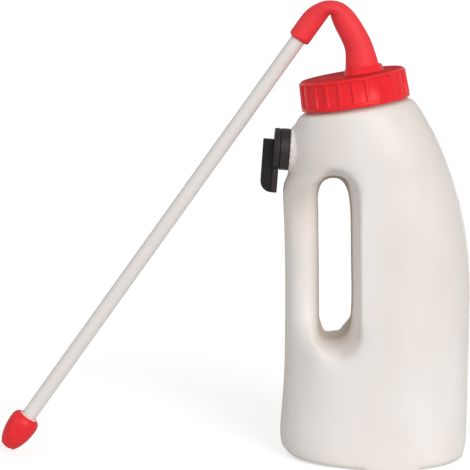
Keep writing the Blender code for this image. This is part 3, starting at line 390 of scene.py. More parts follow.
sealRubber = makeFinish("sealRubber", {
    "shader": {},
    "darker": (0.035, 0.035, 0.036), "lighter": (0.055, 0.055, 0.056), "depth": 0.0002, "strength": 0.3,
    "grain": {"Fine Scale": 1200.0, "Broad Scale": 90.0, "Fine Share": 0.5, "Roughness": 0.7, "Spread": 0.1},
})

clipSteel = makeFinish("clipSteel", {
    "shader": {"Metallic": 1.0},
    "darker": (0.50, 0.50, 0.51), "lighter": (0.60, 0.60, 0.61), "depth": 0.0001, "strength": 0.2,
    "grain": {"Fine Scale": 1500.0, "Broad Scale": 120.0, "Fine Share": 0.6, "Roughness": 0.28,
              "Spread": 0.12},
})
print("materials ready")


# bottle

bottleShape = {
    "creaseAngle": 38, "joinAngle": 40, "chainMerge": 1e-5, "halfDepth": 0.06329,
    # the ring of surface round the valve's boss that is evened out
    "bossInner": 0.0165, "bossOuter": 0.0218, "bossDepth": 0.011, "bossGap": 0.0004, "bossRounds": 4,
    # spots on the parting plane (x, z), how far each is shifted and how far the shift reaches
    "shifts": (((0.0795, 0.2570), (-0.0022, 0.0004), 0.018), ((0.0825, 0.1215), (-0.0022, -0.0010), 0.016),
               ((0.1085, 0.1270), (0.0004, -0.0006), 0.013), ((0.0607, 0.3170), (0.0010, -0.0006), 0.014)),
    # bands (left, right, low, high, ease) that are shifted sideways
    "bands": (((0.040, 0.086, 0.040, 0.245, 0.020), 0.0005), ((0.100, 0.118, 0.155, 0.230, 0.024), 0.0005)),
    "footLevel": 0.045, "footEase": 0.015, "footSquare": 0.0052, "footLeft": 0.10, "footRight": 0.55,
    "leastFlat": 1e-4,
}


def easedCopy():
    # the solid's mesh, merged, with its hole's corners and its foot drawn a little squarer
    v = bottleShape
    bm = bmesh.new()
    bm.from_mesh(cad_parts["bottle"].data)
    bmesh.ops.remove_doubles(bm, verts=bm.verts, dist=mergeDistance)
    bm.normal_update()
    low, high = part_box("bottle")
    middle = (low[0] + high[0]) / 2
    for vert in bm.verts:
        spot = vert.co.copy()
        for place, move, reach in v["shifts"]:
            far = math.hypot(spot.x - place[0], spot.z - place[1]) / reach
            if far < 1:
                share = (1 - far * far) ** 2
                vert.co += Vector((move[0], 0, move[1])) * share
        for (left, right, bottom, top, ease), move in v["bands"]:
            vert.co.x += move * within(spot.x, left, right, ease) * within(spot.z, bottom, top, ease)
        flat = Vector((vert.normal.x, vert.normal.y, 0))
        outward = flat.x * (spot.x - middle) + flat.y * spot.y > 0
        if spot.z < v["footLevel"] and vert.normal.z < 0 and outward and flat.length > v["leastFlat"]:
            raised = smoothStep((v["footLevel"] - spot.z) / v["footEase"])
            slant = 2 * abs(vert.normal.z) * flat.length * raised
            flat.normalize()
            side = 1 - (1 - v["footLeft"]) * max(0.0, -flat.x) - (1 - v["footRight"]) * max(0.0, flat.x)
            vert.co += (flat + Vector((0, 0, -1))) * v["footSquare"] * slant * side
            vert.co.z = max(vert.co.z, 0.0)
            vert.co.x = min(vert.co.x, high[0] - ridgeShape["proud"])
            vert.co.y = min(max(vert.co.y, -v["halfDepth"]), v["halfDepth"])
    return bm


def makeBottle():
    # the eased copy is evened out round the valve's boss, its triangles are paired up, and it is subdivided
    v = bottleShape
    bm = easedCopy()
    toValve = valveMatrix().inverted()
    near = []
    for vert in bm.verts:
        spot = toValve @ vert.co
        if v["bossInner"] < spot.xy.length < v["bossOuter"] and -v["bossDepth"] < spot.z < -v["bossGap"]:
            near.append(vert)
    for _ in range(v["bossRounds"]):
        bmesh.ops.smooth_vert(bm, verts=near, factor=0.5, use_axis_x=True, use_axis_y=True, use_axis_z=True)
    angle = math.radians(v["joinAngle"])
    bmesh.ops.join_triangles(bm, faces=bm.faces, angle_face_threshold=angle, angle_shape_threshold=angle)
    crease = bm.edges.layers.float.new("crease_edge")
    for edge in bm.edges:
        if len(edge.link_faces) == 2 and edge.calc_face_angle() > math.radians(v["creaseAngle"]):
            edge[crease] = 1.0
    bottle = addPiece(bm, "bottleBody", Matrix(), "bottle", milkyPlastic)
    addModifier(bottle, "SUBSURF", levels=1, render_levels=1)
    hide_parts("bottle")


# ring on the shoulder for the valve, in the valve's frame
bossRing = {
    "inner": 0.0105, "outer": 0.0196, "foot": 0.0204, "deep": -0.0030, "root": -0.0042, "edge": 0.0005,
    "draft": 0.0001, "draftShare": 0.6, "flare": 0.0012, "backStep": 0.004, "backRise": 0.002, "steps": 72,
}


def makeBossRing():
    v = bossRing
    points = [
        (v["inner"], 0), (v["outer"] - v["edge"], 0), (v["outer"], -v["edge"]),
        (v["outer"] + v["draft"], v["deep"] * v["draftShare"]), (v["foot"], v["deep"]),
        (v["foot"] + v["flare"], v["root"]), (v["inner"] + v["backStep"], v["root"]),
        (v["inner"], v["root"] + v["backRise"]),
    ]
    bm = spinProfile(points, v["steps"], closed=True)
    addPiece(bm, "valveBossRing", valveMatrix(), "bottle", milkyPlastic, 50)


# strips that the mould leaves on the parting plane
webShape = {
    "start": (0.0955, 0, 0.113), "highest": 1.0, "root": 0.0010, "thick": 0.0010, "boxGap": 0.00002,
    "side": 0.0008, "top": 0.0028, "floor": 0.0066, "corner": 0.0030,
    "floorLevel": 0.136, "topLevel": 0.250, "ease": 0.016, "leftEnd": 0.0795,
}
ridgeShape = {
    "start": (0.14, 0, 0.0), "highest": 0.330, "root": 0.0008, "thick": 0.0007, "boxGap": 0.00002,
    "proud": 0.00022, "lift": 0.004,
}


def partingChain(start, highest):
    # walks the bottle's outline on the parting plane from the point nearest to start, and rounds it off
    bm = easedCopy()
    bmesh.ops.bisect_plane(bm, geom=bm.verts[:] + bm.edges[:] + bm.faces[:], dist=mergeDistance,
                           plane_co=(0, 0, 0), plane_no=(0, 1, 0), clear_outer=True, clear_inner=True)
    bmesh.ops.remove_doubles(bm, verts=bm.verts, dist=bottleShape["chainMerge"])
    first = min(bm.verts, key=lambda vert: (vert.co - Vector(start)).length)
    sides = []
    closed = False
    for edge in first.link_edges[:2]:
        side, vert = [], first
        while edge is not None and not closed:
            vert = edge.other_vert(vert)
            closed = vert is first
            if closed or vert.co.z > highest:
                break
            side.append(vert.co.copy())
            edge = next((other for other in vert.link_edges if other is not edge), None)
        sides.append(side)
        if closed:
            break
    chain = [first.co.copy()] + sides[0]
    if not closed:
        chain = sides[1][::-1] + chain
    bm.free()
    for _ in range(2):
        chain = [spot for a, b in neighbours(chain, closed) for spot in (a.lerp(b, 0.25), a.lerp(b, 0.75))]
    return chain, closed


def seamStrip(name, material, v, upward, widthAt):
    # a thin strip that stands on the outline, with its foot inside the wall
    chain, closed = partingChain(v["start"], v["highest"])
    count = len(chain)
    start = min(range(count), key=lambda k: chain[k].z)
    outs = []
    for k, point in enumerate(chain):
        before = chain[k - 1] if closed or k else point
        after = chain[(k + 1) % count] if closed or k < count - 1 else point
        along = (after - before).normalized()
        outs.append(Vector((-along.z, 0, along.x)))
    if (outs[start].z > 0) != upward:
        outs = [-out for out in outs]
    bm = bmesh.new()
    edges = []
    for reach in (lambda point: -v["root"], widthAt):
        verts = [bm.verts.new(point + out * reach(point)) for point, out in zip(chain, outs)]
        edges += [bm.edges.new(pair) for pair in neighbours(verts, closed)]
    faces = bmesh.ops.bridge_loops(bm, edges=edges)["faces"]
    extrudeBy(bm, faces, (0, v["thick"], 0))
    bmesh.ops.translate(bm, vec=(0, -v["thick"] / 2, 0), verts=bm.verts)
    bmesh.ops.recalc_face_normals(bm, faces=bm.faces)
    for vert in bm.verts:
        vert.co.x = min(vert.co.x, cadBox[1][0] - v["boxGap"])
        vert.co.z = max(vert.co.z, 0.0)
    addPiece(bm, name, Matrix(), "bottle", material)


def makePinchWeb():
    # the thin lip that the mould's two halves leave round the hand hole, widest along its floor, coloured
    # darker than the bottle as painted shade
    v = webShape

    def widthAt(point):
        low = smoothStep((v["floorLevel"] - point.z) / v["ease"])
        high = smoothStep((point.z - v["topLevel"]) / v["ease"])
        floor = v["corner"] + (v["floor"] - v["corner"]) * smoothStep((point.x - v["leftEnd"]) / v["ease"])
        return v["side"] + (floor - v["side"]) * low + (v["top"] - v["side"]) * high

    seamStrip("pinchWeb", webPaintedShade, v, True, widthAt)


def makePartingRidge():
    # the fine raised line that the mould leaves down both ends of the bottle and under its base
    v = ridgeShape

    def widthAt(point):
        return v["proud"] * smoothStep(point.z / v["lift"])

    seamStrip("partingRidge", ridgePlastic, v, False, widthAt)


neckThread = {
    "radius": 0.0439, "low": 0.0075, "pitch": 0.006, "turns": 1.6, "stepsPerTurn": 48,
    "profile": ((0, 0), (0.0021, 0.0007), (0.0021, 0.0017), (0, 0.0026)),
}

makeBottle()
makeBossRing()
makePinchWeb()
makePartingRidge()
makeThread("neckThread", neckThread, "bottle", milkyPlastic)
print("bottle made")


# cap

capShape = {
    "bottomRadius": 0.0505, "topRadius": 0.0495, "height": 0.0274, "bevel": 0.0022, "innerRadius": 0.0465,
    "underside": 0.0244, "innerStep": 0.003, "innerEdge": 0.001, "mouthFlare": 0.0004, "mouthEdge": 0.0008,
    "footEdge": 0.0006, "rim": 0.0040, "rimProud": 0.0001, "topBand": 0.0004, "flatRadius": 0.03,
    # the top's round edge: how far in from the side, and how far up from the shoulder or down from the top
    "shoulderIn": 0.0004, "shoulderUp": 0.0006, "crownIn": 0.0018, "crownDown": 0.0005, "flatIn": 0.0026,
    "ribs": 24, "columnsPerRib": 6, "phase": -94.9, "panelDepth": 0.0015, "panelSlope": 0.0006,
    "facing": 0.9, "ribEdge": 0.00022, "ribEdgeAngle": 32,
}


def makeCap():
    v = capShape
    shoulder = v["height"] - v["bevel"]
    slope = (v["topRadius"] - v["bottomRadius"]) / shoulder

    def side(up):
        return v["bottomRadius"] + slope * up

    high = shoulder - v["topBand"]
    inner = v["innerRadius"]
    points = [
        (0, v["underside"]), (inner - v["innerStep"], v["underside"]),
        (inner - v["innerEdge"], v["underside"]), (inner, v["underside"] - v["innerEdge"]),
        (inner, v["mouthEdge"]), (inner + v["mouthFlare"], 0),
        (side(0) - v["footEdge"], 0), (side(0), v["footEdge"]), (side(v["rim"]) + v["rimProud"], v["rim"]),
        (side(high), high), (side(shoulder), shoulder),
        (side(shoulder) - v["shoulderIn"], shoulder + v["shoulderUp"]),
        (side(shoulder) - v["crownIn"], v["height"] - v["crownDown"]),
        (side(shoulder) - v["flatIn"], v["height"]), (v["flatRadius"], v["height"]), (0, v["height"]),
    ]
    columns = v["ribs"] * v["columnsPerRib"]
    bm = spinProfile(points, columns)
    phase = Matrix.Rotation(math.radians(v["phase"]), 3, "Z")
    bmesh.ops.rotate(bm, verts=bm.verts, cent=(0, 0, 0), matrix=phase)
    panels = []
    for face in bm.faces:
        centre = face.calc_center_median()
        outward = Vector((centre.x, centre.y, 0)).normalized()
        if v["rim"] < centre.z < high and face.normal.dot(outward) > v["facing"]:
            turn = (math.degrees(math.atan2(centre.y, centre.x)) - v["phase"]) % (360 / v["ribs"])
            if turn > 360 / columns:
                panels.append(face)
    bmesh.ops.inset_region(bm, faces=panels, use_boundary=True, use_even_offset=True,
                           thickness=v["panelSlope"], depth=-v["panelDepth"])
    bm.normal_update()
    softenEdges(bm, v["ribEdge"], 2, v["ribEdgeAngle"])
    bm.normal_update()
    # the upward faces take the second material, a copy of the red painted darker as painted shade on the top
    for face in bm.faces:
        if face.normal.z > v["facing"] and face.calc_center_median().z > v["underside"] + v["innerEdge"]:
            face.material_index = 1
    cap = addPiece(bm, "capShell", neckMatrix(), "cap", glossyRed, 32)
    cap.data.materials.append(capTopPaintedShadeRed)
    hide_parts("screw_cap")


# the low round boss on the cap, and the spigot under the elbow
outletShape = {
    "offset": 0.0107, "shift": 0.0010, "radius": 0.0172, "base": 0.0181, "seat": 0.0332,
    "spigotRadius": 0.0090, "spigotHeight": 0.0160, "boreRadius": 0.0064, "steps": 64,
    # the foot's fillet, out from the base and up from the cap's top
    "fillet": ((0.0009, -0.0006), (0.0006, 0.0002), (0, 0.0007)),
    "draft": 0.0001, "edgeIn": 0.0006, "edgeDown": 0.0008, "spigotIn": 0.0012, "spigotDown": 0.0015,
}


def makeOutlet():
    v = outletShape
    seat = v["seat"]
    top = seat + v["spigotHeight"]
    fillet = [(v["base"] + out, capShape["height"] + up) for out, up in v["fillet"]]
    points = fillet + [
        (v["radius"] + v["draft"], seat - v["edgeDown"]), (v["radius"] - v["edgeIn"], seat),
        (v["spigotRadius"], seat), (v["spigotRadius"], top - v["spigotDown"]),
        (v["spigotRadius"] - v["spigotIn"], top), (v["boreRadius"], top), (v["boreRadius"], fillet[0][1]),
    ]
    bm = spinProfile(points, v["steps"], closed=True)
    boss = [vert for vert in bm.verts if vert.co.xy.length > (v["radius"] + v["spigotRadius"]) / 2]
    bmesh.ops.translate(bm, verts=boss, vec=(v["shift"], 0, 0))
    bmesh.ops.translate(bm, verts=bm.verts, vec=(v["offset"], 0, 0))
    addPiece(bm, "capOutlet", neckMatrix(), "cap", glossyRed)


capThread = {
    "radius": 0.0466, "low": 0.0045, "pitch": 0.006, "turns": 2.0, "stepsPerTurn": 48,
    "profile": ((0, 0), (0, 0.0026), (-0.0019, 0.0018), (-0.0019, 0.0008)),
}

makeCap()
makeOutlet()
makeThread("capThread", capThread, "cap", glossyRed)
print("cap made")


# elbow, in the neck's frame of (across, up)

elbowShape = {
    "offset": 0.0107, "seat": 0.0327, "baseRadius": 0.0155, "legRadius": 0.0132, "foldRadius": 0.0113,
    "endRadius": 0.0103, "wall": 0.0030, "pinchedWall": 0.0027, "legBore": 0.0093, "limbBore": 0.0076,
    "endBore": 0.0073, "straight": 0.0145, "flare": 0.018, "lowHandle": 0.010, "highHandle": 0.020,
    "apex": (-0.0119, 0.0838), "crest": 0.0142, "legSide": 0.0190, "probeSide": 0.0170, "crease": 0.0006,
    "legLean": 21, "end": (-0.0444, 0.0662), "limbShare": 0.93, "around": 32, "easeRounds": 3,
    # where the sections stand on the straight foot, on the leg, in the fold and down the probe's limb
    "footShares": (0, 0.04, 0.2, 0.4, 0.6, 0.8), "legSteps": 9, "foldSteps": 12,
    "limbShares": (0.84, 0.72, 0.58, 0.42, 0.24, 0.04, 0.0), "boreChange": 0.7,
    # the share of its thickness below which the bore has its pinched wall, and over which it eases
    "pinchFrom": 0.6, "pinchOver": 0.4,
    "bendStart": (0.1000, 0, 0.4113), "bendEnd": (0.0837, 0, 0.4178),
}


def elbowStations():
    # each station has its middle, its outward direction, its thickness, its unpinched radius and its bore
    v = elbowShape
    base = Vector((v["offset"], v["seat"]))
    apex, end = Vector(v["apex"]), Vector(v["end"])
    lean = math.radians(probeSpot["lean"] + neckSpot["lean"])
    probeUp = Vector((math.sin(lean), math.cos(lean)))
    startAngle, endAngle = math.radians(v["legLean"]), math.pi - lean
    foldDir = Vector((math.cos(startAngle), math.sin(startAngle)))
    foldMiddle = apex + foldDir * (v["crease"] + v["legSide"]) / 2
    foldUp = Vector((-foldDir.y, foldDir.x))
    straight = base + Vector((0, v["straight"]))
    lowHandle, highHandle = straight + Vector((0, v["lowHandle"])), foldMiddle - foldUp * v["highHandle"]
    stations = []
    for t in v["footShares"]:
        drop = t * v["straight"]
        radius = v["baseRadius"] + (v["legRadius"] - v["baseRadius"]) * smoothStep(drop / v["flare"])
        stations.append((base + Vector((0, drop)), Vector((1, 0)), 2 * radius, radius, v["legBore"]))
    for i in range(v["legSteps"]):
        t = i / v["legSteps"]
        middle = (straight * (1 - t) ** 3 + lowHandle * 3 * t * (1 - t) ** 2
                  + highHandle * 3 * t * t * (1 - t) + foldMiddle * t ** 3)
        turn = startAngle * t
        radius = v["legRadius"] + (v["foldRadius"] - v["legRadius"]) * t
        bore = v["legBore"] + (v["foldRadius"] - v["wall"] - v["legBore"]) * t
        stations.append((middle, Vector((math.cos(turn), math.sin(turn))), 2 * radius, radius, bore))
    for i in range(v["foldSteps"] + 1):
        t = i / v["foldSteps"]
        angle = startAngle + (endAngle - startAngle) * t
        outward = Vector((math.cos(angle), math.sin(angle)))
        farSide = v["legSide"] if t < 0.5 else v["probeSide"]
        reach = v["crest"] + (farSide - v["crest"]) * (2 * t - 1) ** 2
        middle = apex + outward * (v["crease"] + reach) / 2
        stations.append((middle, outward, reach - v["crease"], v["foldRadius"], v["foldRadius"] - v["wall"]))
    side = Vector((-probeUp.y, probeUp.x))
    fanHeight = (apex - end).dot(probeUp)
    limbRadius = v["foldRadius"] * v["limbShare"]
    for share in v["limbShares"]:
        radius = v["endRadius"] + (limbRadius - v["endRadius"]) * (share / v["limbShares"][0]) ** 2
        bore = v["endBore"] if share < v["boreChange"] else v["limbBore"]
        stations.append((end + probeUp * fanHeight * share, side, 2 * radius, radius, bore))
    for _ in range(v["easeRounds"]):
        # the run of middles and sizes is evened out, apart from its two ends
        eased = stations[:2]
        for before, here, after in zip(stations[1:], stations[2:], stations[3:]):
            eased.append(tuple((a + 2 * b + c) / 4 for a, b, c in zip(before, here, after)))
        stations = eased + stations[-1:]
    return stations


def sectionRing(bm, station, inside):
    # a pinched section is wider, so the rubber's girth stays about the same
    v = elbowShape
    middle, outward, thickness, natural, bore = station
    width = 2 * natural
    if thickness < 2 * natural:
        width = thickness + math.pi / 2 * (2 * natural - thickness)
    if inside:
        squeeze = min(1, max(0, (thickness / (2 * natural) - v["pinchFrom"]) / v["pinchOver"]))
        width -= 2 * (natural - bore)
        thickness -= 2 * (v["pinchedWall"] + (natural - bore - v["pinchedWall"]) * squeeze)
    circle = bmesh.ops.create_circle(bm, cap_ends=False, radius=1, segments=v["around"])["verts"]
    across = Vector((outward.x, 0, outward.y))
    sideways = Vector((0, 1, 0))
    columns = across * thickness / 2, sideways * width / 2, across.cross(sideways)
    matrix = Matrix(columns).transposed().to_4x4()
    matrix.translation = (middle.x, 0, middle.y)
    bmesh.ops.transform(bm, matrix=matrix, verts=circle)
    return list({edge for vert in circle for edge in vert.link_edges})


def makeElbow():
    bm = bmesh.new()
    stations = elbowStations()
    rings = [sectionRing(bm, station, False) for station in stations]
    rings += [sectionRing(bm, station, True) for station in reversed(stations)]
    for ring, following in neighbours(rings, True):
        bmesh.ops.bridge_loops(bm, edges=ring + following)
    bmesh.ops.recalc_face_normals(bm, faces=bm.faces)
    elbow = addPiece(bm, "elbowTube", neckMatrix(), None, redRubber, 0)
    addModifier(elbow, "SUBSURF", levels=1, render_levels=1)
    bakeModifiers(elbow)
    elbow.data.shade_smooth()
    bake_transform(elbow)
    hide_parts("rubber_elbow")


makeElbow()
print("elbow made")


# probe and tip, in the probe's frame

tubeShape = {"radius": 0.0070, "bore": 0.0050, "socket": 0.0240, "tipSocket": 0.0230, "chamfer": 0.0006,
             "rows": 24, "steps": 48}


def makeProbe():
    v = tubeShape
    low, high, c, rows = -v["socket"], probeSpot["shown"] + v["tipSocket"], v["chamfer"], v["rows"]
    outer = [(v["radius"], low + c + (high - low - 2 * c) * i / rows) for i in range(rows + 1)]
    inner = [(v["bore"], high - c - (high - low - 2 * c) * i / rows) for i in range(rows + 1)]
    points = ([(v["bore"] + c, low), (v["radius"] - c, low)] + outer
              + [(v["radius"] - c, high), (v["bore"] + c, high)] + inner)
    bm = spinProfile(points, v["steps"], closed=True)
    probe = addPiece(bm, "probeTube", probeMatrix(), "probe", tubePlastic)
    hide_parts("probe_tube")


tipShape = {
    "outer": ((0.0076, 0.0), (0.0089, 0.0003), (0.0112, 0.0013), (0.0128, 0.0030), (0.0138, 0.0060),
              (0.0140, 0.0102), (0.01375, 0.0151), (0.0131, 0.0203), (0.0119, 0.0250), (0.0104, 0.0292),
              (0.0089, 0.0323), (0.0077, 0.0342), (0.0068, 0.0353), (0.0058, 0.0357)),
    "inner": ((0.0053, 0.0349), (0.0052, 0.0262), (0.0073, 0.0234), (0.0073, 0.0004)),
    "notches": 4, "notchWidth": 0.0032, "notchDepth": 0.0030, "notchTurn": 52, "notchReach": 0.05,
    "length": 0.0358, "steps": 64, "edge": 0.0005, "edgeAngle": 50,
}


def makeTip():
    v = tipShape
    bm = spinProfile(v["outer"] + v["inner"], v["steps"], closed=True)
    matrix = probeMatrix() @ Matrix.Translation((0, 0, probeSpot["shown"]))
    tip = addPiece(bm, "tipBulb", matrix, "probe", tipRubber, 0)
    mouth = matrix @ Matrix.Translation((0, 0, v["length"]))
    stretch = Matrix.Diagonal((1, 1, 2 * v["notchDepth"] / v["notchWidth"], 1))
    forms = []
    for i in range(v["notches"] // 2):
        # each form cuts two notches that face each other
        turn = Matrix.Rotation(math.radians(360 / v["notches"] * i + v["notchTurn"]), 4, "Z")
        cut = bmesh.new()
        bmesh.ops.create_cone(cut, cap_ends=True, segments=32, radius1=v["notchWidth"] / 2,
                              radius2=v["notchWidth"] / 2, depth=v["notchReach"],
                              matrix=mouth @ turn @ stretch @ Matrix.Rotation(math.pi / 2, 4, "X"))
        forms.append(cut)
    cutHoles(tip, forms)
    angle = math.radians(v["edgeAngle"])
    tip.data.set_sharp_from_angle(angle=angle)
    addModifier(tip, "BEVEL", width=v["edge"], segments=3, limit_method="ANGLE", angle_limit=angle)
    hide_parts("probe_tip")


lipShape = {"inner": 0.0072, "outer": 0.0086, "height": 0.0012, "edge": 0.0003, "corner": 0.0004,
            "seam": 0.0006, "cover": 0.0010, "sunk": 0.0004, "steps": 64}


def makeTipLip():
    # the pale thin edge where the bulb grips the tube
    v = lipShape
    points = [
        (v["inner"], -v["seam"]), (v["inner"] + v["edge"], -v["height"]),
        (v["outer"] - v["edge"], -v["height"]), (v["outer"], -v["height"] + v["corner"]),
        (v["outer"] + v["edge"], v["seam"]), (v["inner"], v["cover"]),
    ]
    bm = spinProfile(points, v["steps"], closed=True)
    matrix = probeMatrix() @ Matrix.Translation((0, 0, probeSpot["shown"] + v["sunk"]))
    addPiece(bm, "tipLip", matrix, "probe", paleRubber, 60)


makeProbe()
makeTip()
makeTipLip()
print("probe and tip made")


# valve, in the valve's frame

valveShape = {
    "radius": 0.0194, "rearDisc": 0.0085, "split": 0.0004, "frontDisc": 0.0056, "edge": 0.0004, "gap": 0.0003,
    "shank": 0.0098, "shankLength": 0.0175, "shankEdge": 0.0007, "spindle": 0.0038, "spindleEdge": 0.0004,
    "spindleTail": 0.0042, "gasketRadius": 0.01544, "gasketDepth": 0.0017, "sealRadius": 0.01197,
    "sealDepth": 0.0033, "faceEdge": 0.0010, "faceCorner": 0.0003, "steps": 96,
    "leverReach": 0.0407, "leverRise": 0.0087, "proud": 0.0102, "corner": 0.0105, "cornerSteps": 14,
    "fin": 0.0085, "finFoot": 0.002, "arm": 0.0170, "armTaper": 0.004, "armShares": (0.82, 0.6),
    "armDrop": 0.0002, "softEdge": 0.0008, "softAngle": 50, "sharpAngle": 30,
    "ventRadius": 0.0016, "ventOffset": 0.0069, "ventReach": 0.08,
}


def ventForm(across, sideways):
    # the air way's drill, right through the valve
    v = valveShape
    bm = bmesh.new()
    place = valveMatrix() @ Matrix.Translation((across, sideways, 0))
    bmesh.ops.create_cone(bm, cap_ends=True, segments=24, radius1=v["ventRadius"], radius2=v["ventRadius"],
                          depth=v["ventReach"], matrix=place)
    return bm


def makeValveBody():
    v = valveShape
    low, high = v["gap"], v["gap"] + v["rearDisc"]
    bore, radius = v["spindle"] + v["gap"], v["radius"]
    gasket, seal = v["gasketRadius"] + v["gap"], v["sealRadius"] + v["gap"]
    points = [
        (bore, -v["shankLength"]), (v["shank"] - v["shankEdge"], -v["shankLength"]),
        (v["shank"], -v["shankLength"] + v["shankEdge"]), (v["shank"], low + v["gasketDepth"]),
        (gasket, low + v["gasketDepth"]), (gasket, low),
        (radius - v["edge"], low), (radius, low + v["edge"]),
        (radius, high - v["edge"]), (radius - v["edge"], high),
        (seal, high), (seal, high - v["sealDepth"]), (bore, high - v["sealDepth"]),
    ]
    bm = spinProfile(points, v["steps"], closed=True)
    body = addPiece(bm, "valveHousing", valveMatrix(), "bottle", discPlastic, 0)
    cutHoles(body, [ventForm(-v["ventOffset"], 0)])
    body.data.set_sharp_from_angle(angle=math.radians(v["sharpAngle"]))
    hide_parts("valve_body")


def makeFin(low, front):
    v = valveShape
    reach, rise = v["leverReach"], v["leverRise"]
    outline = [(-rise, low + v["finFoot"]), (reach, low + v["finFoot"]), (reach, front), (-rise, front)]
    fin = makeSlab([(x, -v["fin"] / 2, z) for x, z in outline], (0, v["fin"], 0))
    corner = [e for e in fin.edges if all(abs(p.co.x - reach) < mergeDistance
                                          and abs(p.co.z - front) < mergeDistance for p in e.verts)]
    bmesh.ops.bevel(fin, geom=corner, offset=v["corner"], offset_type="OFFSET", segments=v["cornerSteps"],
                    profile=0.5, affect="EDGES", material=-1)
    softenEdges(fin, v["softEdge"], 3, v["softAngle"])
    return fin


def makeArm(low):
    v = valveShape
    half = v["arm"] / 2
    reach, shoulder = v["leverReach"], v["leverReach"] - v["armTaper"]
    wide, narrow = (half * share for share in v["armShares"])
    outline = [(0, -half), (shoulder, -wide), (reach, -narrow), (reach, narrow), (shoulder, wide), (0, half)]
    arm = makeSlab([(x, y, low) for x, y in outline], (0, 0, v["frontDisc"] - v["armDrop"]))
    softenEdges(arm, v["softEdge"], 3, v["softAngle"])
    return arm


def makeLever():
    # the front disc and its spindle, with the fin in the first material and the rest in the second
    v = valveShape
    low = v["gap"] + v["rearDisc"] + v["split"]
    high = low + v["frontDisc"]
    radius, spindle = v["radius"], v["spindle"]
    tail = -v["shankLength"] - v["spindleTail"]
    points = [
        (0, tail), (spindle - v["spindleEdge"], tail), (spindle, tail + v["spindleEdge"]), (spindle, low),
        (radius - v["edge"], low), (radius, low + v["edge"]), (radius, high - v["faceEdge"]),
        (radius - v["faceCorner"], high - v["faceCorner"]), (radius - v["faceEdge"], high), (0, high),
    ]
    bm = spinProfile(points, v["steps"])
    for face in bm.faces:
        face.material_index = 1
    for part, finish in ((makeFin(low, high + v["proud"]), 0), (makeArm(low), 1)):
        for face in part.faces:
            face.material_index = finish
        mesh = newMesh("leverForm", part)
        bm.from_mesh(mesh)
        bpy.data.meshes.remove(mesh)
    lever = addPiece(bm, "thumbLever", valveMatrix(), "lever", blackPlastic, 0)
    lever.data.materials.append(discPlastic)
    cutHoles(lever, [ventForm(0, v["ventOffset"])])
    lever.data.set_sharp_from_angle(angle=math.radians(v["sharpAngle"]))
    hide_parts("valve_lever")


# rubber rings: name, node, body, frame, inner and outer radius, low and high face
sealRings = (
    ("valveGasketRing", "valve_gasket", "bottle", valveMatrix, 0.0101, 0.0154, 0.0003, 0.0017),
    ("valveSealRing", "valve_seal", "bottle", valveMatrix, 0.0044, 0.0119, 0.0058, 0.0088),
    ("capGasketRing", "cap_gasket", "gasket", neckMatrix, 0.0387, 0.0462, 0.0223, 0.0241),
)
ringShape = {"edge": 0.0003, "steps": 64}


def makeRing(name, node, body, place, inner, outer, low, high):
    edge = min(ringShape["edge"], (high - low) / 4)
    points = [(inner, low), (outer - edge, low), (outer, low + edge), (outer, high - edge),
              (outer - edge, high), (inner, high)]
    bm = spinProfile(points, ringShape["steps"], closed=True)
    ring = addPiece(bm, name, place(), body, sealRubber)
    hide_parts(node)


makeValveBody()
makeLever()
for sealRing in sealRings:
    makeRing(*sealRing)
# the two hard pieces inside the bottle stay as the solids have them
for nodeName, finish in (("valve_nut", blackPlastic), ("valve_clip", clipSteel)):
    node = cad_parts[nodeName]
    node.data.materials.clear()
    node.data.materials.append(finish)
print("valve made")


# stage, light and camera

stageSetup = {
    "floorSize": 60, "floorColour": (0.66, 0.66, 0.66), "floorGlow": 0.60, "worldStrength": 0.42,
    "mirrored": 0.35,
    # each sun's name, its turn and height in degrees, its strength and its spread
    "suns": (("keyLight", 28, 22, 1.75, 38), ("fillLight", -55, 30, 0.42, 60)),
    "target": (0.1, 0, 0.2), "sunDistance": 2,
}


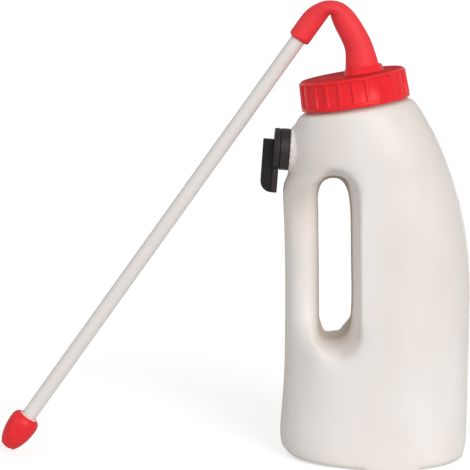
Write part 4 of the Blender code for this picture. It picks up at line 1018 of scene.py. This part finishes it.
def shownRays(tree):
    # 1 for rays that show the backdrop straight or through clear material, and less for mirrored ones
    path = tree.nodes.new("ShaderNodeLightPath")
    shown = mathNode(tree, "MAXIMUM", path.outputs["Is Camera Ray"], path.outputs["Is Transmission Ray"])
    mirrored = mathNode(tree, "MULTIPLY", path.outputs["Is Glossy Ray"], stageSetup["mirrored"])
    return mathNode(tree, "MAXIMUM", shown, mirrored)


def makeFloor():
    v = stageSetup
    bm = bmesh.new()
    bmesh.ops.create_grid(bm, x_segments=1, y_segments=1, size=v["floorSize"])
    floor = newObject("floor", newMesh("floor", bm))
    material, tree, shader = makeMaterial("paleFloor", {
        "Base Color": (*v["floorColour"], 1), "Roughness": 0.9, "Specular IOR Level": 0.1,
        "Emission Color": (1, 1, 1, 1),
    })
    glow = mathNode(tree, "MULTIPLY", shownRays(tree), v["floorGlow"])
    tree.links.new(glow, shader.inputs["Emission Strength"])
    floor.data.materials.append(material)


def aimAt(thing, target, away, distance):
    # stands the thing off from its target and turns it there
    thing.location = Vector(target) + away * distance
    thing.rotation_euler = (-away).to_track_quat("-Z", "Y").to_euler()


def makeLights():
    v = stageSetup
    for name, side, height, strength, spread in v["suns"]:
        light = bpy.data.lights.new(name, "SUN")
        light.energy = strength
        light.angle = math.radians(spread)
        turn, rise = math.radians(side), math.radians(height)
        away = Vector((math.sin(turn) * math.cos(rise), -math.cos(turn) * math.cos(rise), math.sin(rise)))
        aimAt(newObject(name, light), v["target"], away, v["sunDistance"])
    world = bpy.data.worlds.new("softStudio")
    world.use_nodes = True
    background = world.node_tree.nodes["Background"]
    background.inputs["Color"].default_value = (1, 1, 1, 1)
    shown = mathNode(world.node_tree, "MAXIMUM", shownRays(world.node_tree), v["worldStrength"])
    world.node_tree.links.new(shown, background.inputs["Strength"])
    bpy.context.scene.world = world


cameraView = {"target": (0.0020, 0, 0.211), "distance": 1.9, "elevation": 9, "angle": 13.205}


def makeCamera():
    v = cameraView
    tilt = math.radians(v["elevation"])
    camera = bpy.data.cameras.new("view")
    camera.angle = math.radians(v["angle"])
    seen = newObject("view", camera)
    aimAt(seen, v["target"], Vector((0, -math.cos(tilt), math.sin(tilt))), v["distance"])
    bpy.context.scene.camera = seen


makeFloor()
makeLights()
makeCamera()
bpy.context.scene.view_settings.view_transform = "Standard"
print("stage made")
